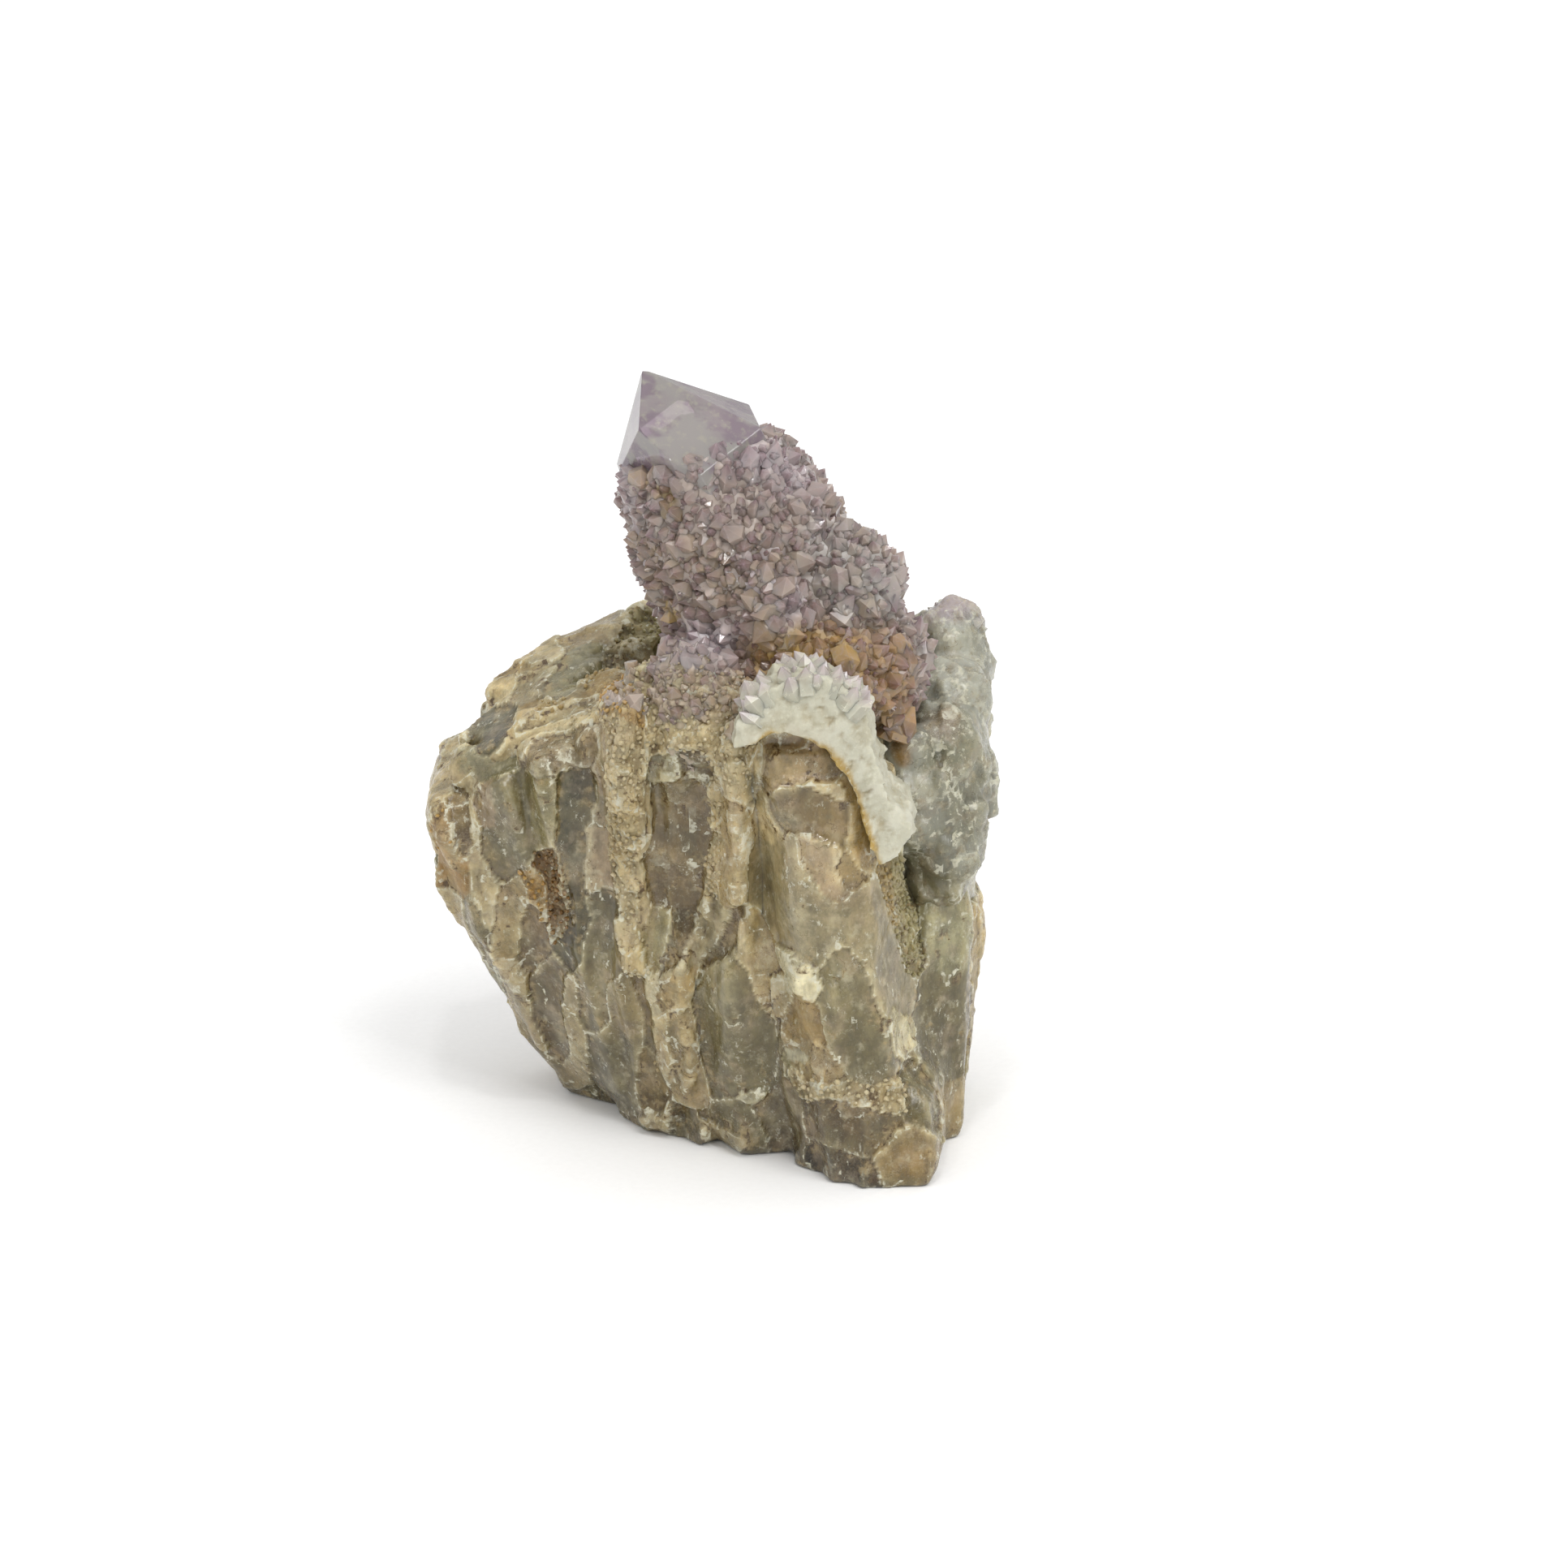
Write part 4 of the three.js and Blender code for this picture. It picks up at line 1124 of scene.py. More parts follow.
@dataclass
class BrokenBase:
    """The broken mass of intergrown quartz columns that everything stands on."""

    voxel: float = 0.38
    swell: float = 0.15
    curl: float = 0.2
    foot_fade: float = 1.5
    seed: int = 40
    fillers: tuple[Ball, ...] = (
        ((-7.4, -11.6, 55.4), 4.2), ((-3.8, -13.4, 53.6), 4.2), ((-11.8, -9.2, 53), 3.6),
        ((-6.5, -12.8, 51), 4.8), ((-11.5, -10.2, 50.8), 4.2), ((-14, -8, 51), 3.6),
        ((-2.5, -14.5, 50.5), 4.0), ((2, -16.5, 49.5), 3.4), ((6, -17.5, 49), 3.4),
        ((-17, 0.5, 49.2), 3.4), ((-21, 0, 47.6), 3.3), ((-25, -0.5, 46), 3.2),
        ((-29, -0.5, 44.4), 3.0), ((-8.6, -12, 46.6), 3.3), ((-11, -10.5, 48.5), 3.2),
    )
    hollows: tuple[tuple[int, float], ...] = ((110, 0.85), (30, 0.5))
    # How much lighter raised flakes are painted: painted light.
    flake_painted_light: float = 0.45
    low_tint: Triple = (0.9, 0.84, 0.65)
    added_tint: Triple = (0.06, 0.08, 0.15)
    low_light: float = 0.63
    added_light: float = 0.33
    tint_height: float = 30.0
    left_painted_shade: float = 0.14
    # How dark the hollows are tinted: rust stain with painted shade.
    hollow_stain_and_shade: float = 0.5
    ridge_light: float = 0.3
    honey_stain: float = 0.8
    scales: Flakes = Flakes(2.1, 1.7, 0.5, 0.2, 0.05, warp=1.0, ramp=0.3, seed=8, flat_share=0.5)
    crumbs: Flakes = Flakes(1.1, 1.2, 0.26, 0.3, 0.05, warp=0.35, ramp=0.25, seed=15)
    panels: Panels = Panels(
        BASE_PATCHES,
        Flakes(6.0, 2.4, 0.7, 0.12, 0.04, warp=2.0, ramp=0.4, seed=3),
        (
            Tone.LENS, Tone.GREEN_GREY, Tone.STONE_GREY, Tone.TAN, Tone.OLIVE, Tone.STONE_GREY,
            Tone.CREAM,
        ),
    )

    def build(self) -> Surface:
        """Shape and colour the broken surface.

        Returns:
            The finished surface, with its tone, graininess and edges stored.
        """
        surface = Surface.of_node("broken_base", "quartz_base", self.voxel, 4, self.fillers)
        for rounds, share in self.hollows:
            surface.fill_hollows(rounds, share)
        surface.relax(4)
        points, normals = surface.points(), surface.normals()
        panels = self.panels.read(points)
        drift = SolidNoise(self.seed)
        grain = np.clip(panels.grain + 0.3 * drift.fractal(points, 4.0), 0, 1)
        scales = self.scales.read(points).faded(np.clip((grain - 0.12) / 0.4, 0.1, 1))
        height = self.swell + panels.height + scales.height
        height += self.curl * (panels.drop > LOWEST_STEP) * np.exp(-((panels.border / 0.7) ** 2))
        crumbs = self.crumbs.read(points)
        lumpy = np.clip(panels.grain - 0.6, 0, 0.5) * np.clip(crumbs.border / 0.4, 0, 1)
        height += crumbs.height * grain**2 + 0.7 * lumpy + 0.2 * drift.fractal(points, 5.0, 4)
        foot = np.clip(points[:, 2] / self.foot_fade, 0, 1)
        surface.place(points + normals * (height * foot)[:, None])
        surface.flatten_foot()
        surface.paint(self.weathered_and_shaded(surface, panels, scales))
        surface.mark(grain, "grain")
        surface.mark_edges(panels, scales)
        return surface

    def weathered_and_shaded(self, surface: Surface, panels: PanelReading, scales: FlakeReading) -> Array:
        """Paint light and shade into the surface by its relief, side and height, and stain its
        hollows.

        Args:
            surface: The shaped surface.
            panels: The reading of its panels.
            scales: The reading of its small flakes.

        Returns:
            The colours, with stains and painted light and shade.
        """
        points = surface.points()
        drift = SolidNoise(self.seed + 1)
        # Painted light and shade: flakes that stand out are painted lighter, sunken ones darker.
        raised_painted_light = np.clip(scales.height / 0.3, -0.5, 1)
        raised_painted_light *= np.clip(0.5 + drift.fractal(points, 5.0), 0, 0.8)
        colour = panels.tone * (1 + self.flake_painted_light * raised_painted_light)[:, None]
        brink = np.where(panels.drop > LOWEST_STEP, np.exp(-panels.border / 0.4), 0)
        brink *= np.clip(0.5 + 0.6 * drift.fractal(points + 30, 4.0), 0, 0.8)
        colour = tinted(colour, Tone.SUGAR.linear(), brink)
        colour *= 1 + 0.3 * drift.fractal(along_columns(points + 70) * [1, 1, 0.55], 5.0, 4)[:, None]
        # Darker and yellower towards the bottom.
        high = np.clip(points[:, 2] / self.tint_height, 0, 1)[:, None]
        colour *= np.array(self.low_tint) + high * np.array(self.added_tint)
        colour *= self.low_light + self.added_light * high
        # Painted shade: the lower left side is darkened.
        left = np.clip((-10 - points[:, 0]) / 8, 0, 1) * np.clip((48 - points[:, 2]) / 3, 0, 1)
        colour *= (1 - self.left_painted_shade * left)[:, None]
        # Painted shadow: the lowest 2.5 mm, where the base meets the floor, are darkened.
        colour *= (0.6 + 0.4 * np.clip(points[:, 2] / 2.5, 0, 1))[:, None]
        # Hollows get a dark rust tint: a stain with painted shade. Ridges are lightened.
        bend = surface.curvature(8)
        hollow = np.clip(-bend / 0.6, 0, 1)
        ridge = np.clip(bend / 0.5, 0, 1)
        colour = tinted(colour, Tone.RUST.linear() * 0.8, self.hollow_stain_and_shade * hollow)
        colour = tinted(colour, Tone.SUGAR.linear(), self.ridge_light * ridge)
        stain = np.clip(drift.fractal(along_columns(points) * [1, 1, 0.5], 9.0, 4) - 0.35, 0, 0.35)
        return tinted(colour, Tone.HONEY.linear(), self.honey_stain * stain)


@dataclass
class Spot:
    """A place on a surface and the direction straight out of it, in millimetres."""

    place: Array
    out: Array


@dataclass
class Scatter:
    """Picks spots on a surface that keep a distance from each other."""

    spacing: float
    seed: int
    tries: float = 9.0

    def spots(self, surface: Surface, keep: Callable[[Array], Array]) -> list[Spot]:
        """Pick the spots.

        Args:
            surface: Where to put them.
            keep: Tells for places, one a row, whether a spot may lie there.

        Returns:
            The spots.
        """
        mesh = surface.mesh
        mesh.calc_loop_triangles()
        corners = np.empty(len(mesh.loop_triangles) * 3, np.int32)
        mesh.loop_triangles.foreach_get("vertices", corners)
        points, normals = surface.points(), surface.unfolded_normals()
        a, b, c = points[corners.reshape(-1, 3)].transpose(1, 0, 2)
        area = np.linalg.norm(np.cross(b - a, c - a), axis=1) / 2
        draw = np.random.default_rng(self.seed)
        count = int(self.tries * area.sum() / self.spacing**2)
        chosen = draw.choice(len(area), count, p=area / area.sum())
        u, v = draw.random(count), draw.random(count)
        flip = u + v > 1
        u[flip], v[flip] = 1 - u[flip], 1 - v[flip]
        places = a[chosen] + u[:, None] * (b - a)[chosen] + v[:, None] * (c - a)[chosen]
        outs = normals[corners.reshape(-1, 3)[chosen]].mean(axis=1)
        allowed = keep(places)
        return self.thinned(places[allowed], outs[allowed])

    def thinned(self, places: Array, outs: Array) -> list[Spot]:
        """Drop spots that lie too close to one before them.

        Args:
            places: Places in millimetres, one a row.
            outs: The outward directions there.

        Returns:
            The spots that are left.
        """
        taken: dict[tuple[int, ...], list[int]] = {}
        kept: list[Spot] = []
        spots: list[Array] = []
        around = [np.array(step) - 1 for step in np.ndindex(3, 3, 3)]
        for place, out in zip(places, outs):
            cell = np.floor(place / self.spacing).astype(int)
            near = [n for step in around for n in taken.get(tuple(cell + step), ())]
            if any(np.sum((spots[n] - place) ** 2) < self.spacing**2 for n in near):
                continue
            taken.setdefault(tuple(cell), []).append(len(spots))
            spots.append(place)
            kept.append(Spot(place, out / max(np.linalg.norm(out), 1e-9)))
        return kept


class PointBed:
    """A mesh that many small quartz points are added to, each with its own colours and painted light
    on its faces.
    """

    SLOPE = 1.27
    TAPER = 0.96
    FLAT_TO_EDGE = 0.87
    OFF_CENTRE = 0.34
    RIM_SHARE = 0.15
    # Each face is painted lighter or darker at random: painted light and shade for light reflected
    # inside the points.
    PAINTED_FACE_LIGHT = (0.86, 1.18)
    LOT = 40

    def __init__(self, name: str, seed: int) -> None:
        """Start an empty bed."""
        self.whole = bmesh.new()
        self.mesh_under_work = bpy.data.meshes.new(name)
        self.draw = np.random.default_rng(seed)
        self.start_lot()

    def start_lot(self) -> None:
        """Start the next few points in a mesh of their own, where operators are quick."""
        self.work = bmesh.new()
        self.tone = self.work.loops.layers.float_color.new("tone")
        self.made = 0

    def finish_lot(self) -> None:
        """Add the last few points to the bed."""
        self.work.to_mesh(self.mesh_under_work)
        self.work.free()
        self.whole.from_mesh(self.mesh_under_work)

    def add(
        self, place: Array, axis: Array, radius: float, stem: float,
        colours: tuple[Array, Array], sunk: float,
    ) -> None:
        """Add one point: a six-sided prism with six tip faces that meet off its middle.

        Args:
            place: Where its prism leaves the surface, in millimetres.
            axis: The direction in which it points.
            radius: From its axis to its edges.
            stem: How much of its prism shows.
            colours: Linear colours of its foot and of its tip.
            sunk: How much of its prism is hidden.
        """
        if self.made == self.LOT:
            self.finish_lot()
            self.start_lot()
        self.made += 1
        turn = Vector(axis).normalized().to_track_quat("Z", "Y").to_matrix().to_4x4()
        spin = Matrix.Rotation(self.draw.uniform(0, math.pi / 3), 4, "Z")
        matrix = Matrix.Scale(MM, 4) @ Matrix.Translation(Vector(place)) @ turn @ spin
        middle = (stem - sunk) / 2
        made = bmesh.ops.create_cone(
            self.work, cap_ends=True, cap_tris=False, segments=6, radius1=radius,
            radius2=radius * self.TAPER, depth=stem + sunk, matrix=Matrix.Translation((0, 0, middle)),
        )["verts"]
        top = [v for v in made if v.co.z > middle]
        lid = next(f for f in top[0].link_faces if all(v in top for v in f.verts))
        apex = bmesh.ops.poke(self.work, faces=[lid])["verts"][0]
        off = Vector(self.draw.uniform(-self.OFF_CENTRE, self.OFF_CENTRE, 2) * radius)
        fall = self.SLOPE * self.FLAT_TO_EDGE
        apex.co = Vector((off.x, off.y, stem + fall * radius))
        for v in top:
            v.co.z = apex.co.z - fall * (v.co.xy - off).length
        foot, tip = (np.clip(colour, 0, 1) for colour in colours)
        for face in dict.fromkeys(face for v in made for face in v.link_faces):
            # Painted light and shade: this face is made lighter or darker.
            shade = self.draw.uniform(*self.PAINTED_FACE_LIGHT)
            for loop in face.loops:
                share = 1.0 if loop.vert is apex else self.RIM_SHARE if loop.vert in top else 0.0
                loop[self.tone] = (*(shade * (foot + share * (tip - foot))), 1.0)
        bmesh.ops.transform(self.work, matrix=matrix, verts=[*made, apex])

    def mesh(self) -> bpy.types.Mesh:
        """Return the joined mesh and free the work."""
        self.finish_lot()
        self.whole.to_mesh(self.mesh_under_work)
        self.whole.free()
        return self.mesh_under_work


@dataclass
class ClearTip:
    """The clear end of the amethyst: six sides and six tip faces that meet in the apex."""

    apex: Triple = (-13.3, -3, 88.2)
    axis: Triple = (-0.44, -0.08, 0.894)
    off_centre: float = 0.5
    flat: float = 7.9
    first_face: float = 39.0
    reaches: tuple[float, ...] = (0, 0.2, 0, 0.2, 0, 2.3)
    rhomb_angle: float = 51.8
    side_facet: Triple = (-0.70, -0.59, -0.38)
    side_reach: float = 5.28
    length: float = 17.0
    bevel: float = 0.12
    coat_edge: tuple[Pair, ...] = (
        (-19.0, 10.6), (-17.5, 10.2), (-15.5, 9.2), (-13.0, 8.8), (-9.8, 9.8), (-7.4, 8.6),
        (-5.5, 9.2), (-3.0, 10.4), (-0.5, 11.4),
    )

    def coat_limit(self, points: Array) -> Array:
        """Return the depth at which the coat begins beside each place, in millimetres."""
        across, depths = zip(*self.coat_edge)
        behind = np.interp(points[:, 0], (-14, -4), (11.5, 15.5))
        return np.where(points[:, 1] < -1, np.interp(points[:, 0], across, depths), behind)

    def directions(self) -> tuple[Vector, Vector, Vector]:
        """Return the directions up the axis, to the right and backwards."""
        up = Vector(self.axis).normalized()
        right = (Vector((1, 0, 0)) - up * up.x).normalized()
        return up, right, up.cross(right)

    def place_at(self, depth: float) -> Vector:
        """Return the place on the axis at a depth below the apex, in millimetres."""
        return Vector(self.apex) - self.directions()[0] * depth

    def depth_of(self, points: Array) -> Array:
        """Return how far down the axis from the apex each place lies, in millimetres."""
        up = np.array(self.directions()[0])
        return -(points - np.array(self.apex)) @ up

    def drawn_in(self, points: Array, shares: Array) -> Array:
        """Return places moved towards the tip's axis by a share of their distance from it."""
        up = np.array(self.directions()[0])
        on_axis = np.array(self.apex) - np.outer(self.depth_of(points), up)
        return on_axis + (points - on_axis) * (1 - shares)[:, None]

    def build(self) -> bpy.types.Mesh:
        """Cut the tip out of a block, face by face.

        Returns:
            Its mesh.
        """
        up, right, back = self.directions()
        cuts = [(-up, self.length)]
        for n in range(6):
            angle = math.radians(self.first_face + 60 * n)
            out = right * math.sin(angle) - back * math.cos(angle)
            slope = math.radians(self.rhomb_angle)
            cuts.append((out, self.flat + self.off_centre * right.dot(out)))
            cuts.append((out * math.sin(slope) + up * math.cos(slope), self.reaches[n]))
        cuts.append((Vector(self.side_facet).normalized(), self.side_reach))
        mesh = bpy.data.meshes.new("clear_tip")
        with edited(mesh) as work:
            bmesh.ops.create_cube(work, size=60, matrix=Matrix.Translation(-up * 12))
            for normal, reach in cuts:
                edges = cut_through(work, normal * reach, normal)
                if edges:
                    bmesh.ops.contextual_create(work, geom=edges)
            bmesh.ops.bevel(
                work, geom=work.edges[:], offset=self.bevel, offset_type="OFFSET", affect="EDGES",
                segments=2, profile=0.5, material=-1,
            )
            bmesh.ops.recalc_face_normals(work, faces=work.faces)
            place = Matrix.Translation(Vector(self.apex))
            bmesh.ops.transform(work, matrix=Matrix.Scale(MM, 4) @ place, verts=work.verts)
        return mesh


@dataclass(frozen=True)
class TipJoint:
    """How the coated body meets the clear tip, in millimetres.

    The body swells a little up to the coat's ragged edge. Above it the body is drawn in, pale,
    and cut off inside the tip.
    """

    swell: float = 0.4
    swell_depth: float = 14.5
    swell_fade: float = 3.0
    ragged: float = 0.6
    ragged_size: float = 2.2
    overlap: float = 0.3
    fade: float = 1.5
    drawn_in: float = 0.4
    body_top: float = 9.5
    bare_height: float = 52.0
    bare_side: float = 3.0
    seed: int = 51


@dataclass(frozen=True)
class PointSize:
    """One size of points: how far apart they stand, how wide and how tall they are."""

    spacing: float
    radius: Pair
    stem: Pair


@dataclass
class PointCoat:
    """A coat of quartz points in several sizes over a rounded body."""

    name: str
    node: str
    patches: PatchMap
    sizes: tuple[PointSize, ...] = (
        PointSize(3.2, (1.5, 2.1), (-1.4, -0.9)),
        PointSize(1.5, (1.2, 1.9), (-1.15, -0.35)),
        PointSize(1.0, (0.6, 0.95), (-0.5, 0.1)),
    )
    shrink: float = 0.75
    voxel: float = 0.45
    relax: int = 11
    broad_rounds: int = 60
    sunk: float = 2.4
    lean: float = 0.4
    upward: float = 0.25
    foot_light: float = 1.14
    tip_tone: Tone = Tone.PLUM
    tip_share: float = 0.9
    deep_tone: Tone = Tone.BLUSH
    deep_share: float = 0.8
    deep_heights: Pair = (62, 78)
    core_shade: float = 0.9
    fineness: float = 0.25
    facets: Flakes = Flakes(1.5, 1.0, 0.28, 0.42, 0.0, warp=0.15, ramp=0.12, seed=81, fanned=False)
    seed: int = 5

    def core(self) -> Surface:
        """Return the faceted body under the coat."""
        surface = Surface.of_node(self.name + "_core", self.node, self.voxel, self.relax)
        surface.learn_broad_shape(self.broad_rounds)
        points = surface.points()
        height = self.facets.read(points).height - self.shrink
        surface.place(points + height[:, None] * surface.broad)
        return surface

    def coat(self, core: Surface, keep: Callable[[Array], Array], up: Array) -> bpy.types.Mesh:
        """Cover the core with points.

        Args:
            core: The body under the coat.
            keep: Tells where points may stand.
            up: A direction that the points lean towards.

        Returns:
            The joined mesh of all points.
        """
        bed = PointBed(self.name, self.seed)
        swells = SolidNoise(self.seed + 100)
        lowest, highest = self.deep_heights
        for turn, kind in enumerate(self.sizes):
            spots = Scatter(kind.spacing, self.seed + turn).spots(core, keep)
            places = np.array([spot.place for spot in spots]).reshape(-1, 3)
            tones, grains = self.patches.read(places)
            deep = self.deep_share * np.clip(0.5 + 0.9 * swells.fractal(places + 50, 6.0), 0, 1)
            height = places[:, 2]
            deep *= np.clip((highest - height) / 8, 0, 1) * np.clip(height - lowest, 0.2, 1)
            tones = tinted(tones, self.deep_tone.linear(), deep)
            swell = 0.5 + 0.5 * swells.smooth(places, 5.0)
            for spot, tone, size, grain in zip(spots, tones, swell, grains):
                stray = bed.draw.normal(0, self.lean / 2, 3)
                axis = spot.out + stray + self.upward * up
                share = 0.45 * size + 0.55 * bed.draw.random()
                wide = kind.radius[0] + (kind.radius[1] - kind.radius[0]) * share
                wide *= 1 - self.fineness * max(0.0, grain - 0.3)
                tall = kind.stem[0] + (kind.stem[1] - kind.stem[0]) * bed.draw.random()
                foot = self.foot_light * tone * bed.draw.uniform(0.92, 1.12)
                purple = self.tip_share * bed.draw.uniform(0.3, 1.0)
                tip = foot + purple * (self.tip_tone.linear() - foot)
                bed.add(spot.place, axis, wide, tall, (foot, tip), self.sunk)
        return bed.mesh()

    def paint_core(self, core: Surface, bare: Array) -> None:
        """Colour the core.

        Args:
            core: The body under the coat.
            bare: From 0 where the coat hides a corner to 1 where it shows through the clear tip.
        """
        tones, _ = self.patches.read(core.points())
        lot = self.facets.read(core.points()).lot
        tones *= (self.core_shade * (0.85 + 0.3 * lot))[:, None]
        core.paint(tinted(tones, Tone.PEARL.linear(), bare))


AMETHYST_PATCHES = PatchMap(
    Tone.MAUVE,
    (
        Patch("yellow stain", Tone.GOLD, (-13.6, -9, 78), (-13.4, -9, 77), 0.9),
        Patch("olive patch", Tone.HONEY, (-11, -9.5, 76.5), (-10.5, -9.5, 75.5), 1.0),
        Patch("left flank", Tone.LILAC, (-16, -4, 75), (-14, -6, 64), 3.0),
        Patch("top right flank", Tone.LILAC, (-6, -7, 82), (3, -5, 76), 2.6),
        Patch("shoulder knob", Tone.PEARL, (8, -10, 70), (11, -9, 64), 4.0),
        Patch("front knob", Tone.LILAC, (0.5, -14, 69), (0.5, -14, 64), 3.2),
        Patch("left ochre", Tone.GOLD, (-12, -7, 63.5), (-10.4, -10, 61), 1.5, 2.0),
        Patch("skirt", Tone.UMBER_MAUVE, (0, -14, 58), (12, -12, 59), 4.4),
        Patch("skirt ochre", Tone.GOLD, (0, -15, 60.6), (7, -15, 59.4), 3.2),
        Patch("skirt points", Tone.MAUVE, (14, -6, 60), (16, -6, 58), 3.0),
        Patch("skirt heart", Tone.AMBER, (3, -16, 60.2), (5, -16, 59.8), 0.8),
        Patch("recess", Tone.UMBER_MAUVE, (14, -12, 53), (14, -9, 49), 3.0),
        Patch("recess crumbs", Tone.AMBER, (12.8, -14, 57), (14.4, -12, 55.5), 1.1),
        Patch("apron top", Tone.LILAC, (-11, -11, 60), (-4, -14, 60), 3.0, 0.3),
        Patch("apron middle", Tone.BLUSH, (-9, -14, 57), (-4, -16, 55), 3.6, 1.2),
        Patch("apron foot", Tone.CREAM, (-9, -14, 52), (-4, -16, 51), 3.4, 1.4),
        Patch("apron side", Tone.BLUSH, (-13, -10, 58), (-13, -11, 53), 3.0, 1.0),
        Patch("back growth", Tone.MAUVE, (5, 14, 60), (5, 14, 54), 6.0),
    ),
    background_weight=0.16,
)

PALE_PATCHES = PatchMap(
    Tone.ICE,
    (
        Patch("rear top", Tone.LILAC, (18, 6, 59), (22, 8, 57), 1.8),
        Patch("column", Tone.GREEN_GREY, (19, -6, 46), (20, -6, 38), 4.0),
        Patch("column flecks", Tone.ICE, (17, -7, 49), (20, -7, 44), 1.6),
        Patch("orange specks", Tone.AMBER, (17.6, -7, 45), (17.8, -7, 44.4), 0.5),
        Patch("gold cleft", Tone.AMBER, (14.5, -10, 48), (15, -11, 46), 0.8),
        Patch("column blush", Tone.BLUSH, (17, -8, 52), (19, -7, 50), 2.0),
        Patch("right edge", Tone.MILK, (25, 5, 44), (25, 4, 40), 2.2),
        Patch("column foot", Tone.GREEN_GREY, (17, -9, 35), (21, -6, 33), 3.6),
        Patch("column heart", Tone.STONE_GREY, (16, -9, 41), (17, -9, 36), 1.6),
        Patch("column end", Tone.OLIVE, (19, -11, 31), (19.5, -10, 24), 3.0),
    ),
)


@dataclass
class PaleCrystals:
    """The two pale crystals on the right, covered with low flakes."""

    voxel: float = 0.36
    swell: float = 0.2
    seed: int = 63
    fillers: tuple[Ball, ...] = (
        ((20.5, 1, 49.5), 4.6), ((20, -3, 45), 4.5), ((19.5, -7.5, 35.5), 4.2),
        ((19, -7.6, 32), 3.2), ((15.4, -7.5, 47), 3.0), ((15.8, -8.5, 42.5), 3.2),
        ((16.5, -8.6, 38), 3.2),
    )
    hollows: tuple[int, float] = (40, 0.7)
    shade: float = 0.72
    shade_spread: float = 0.3
    flakes: Flakes = Flakes(3.2, 1.9, 0.4, 0.25, 0.04, warp=1.3, ramp=0.4, seed=61, fanned=False)
    beads: Flakes = Flakes(1.2, 1.5, 0.14, 0.2, 0.0, warp=0.6, ramp=0.2, seed=62, fanned=False)
    patches: PatchMap = PALE_PATCHES

    def build(self) -> Surface:
        """Shape and colour the flakes.

        Returns:
            The finished surface.
        """
        surface = Surface.of_node("pale_body", "pale_crystals", self.voxel, 6, self.fillers)
        surface.fill_hollows(*self.hollows)
        points, normals = surface.points(), surface.normals()
        flakes = self.flakes.read(points)
        drift = SolidNoise(self.seed)
        busy = np.clip(0.5 + drift.fractal(points, 5.0), 0, 1)
        beads = self.beads.read(points).faded(busy)
        height = self.swell + flakes.height + beads.height
        surface.place(points + normals * height[:, None])
        tones, _ = self.patches.read(points)
        tones *= (self.shade + self.shade_spread * (flakes.lot - 0.5))[:, None]
        tones *= 1 + 0.2 * drift.fractal(points + 20, 3.0, 4)[:, None]
        surface.paint(tones)
        surface.mark(0.1 + 0.35 * busy, "grain")
        surface.mark_edges(flakes, beads)
        return surface


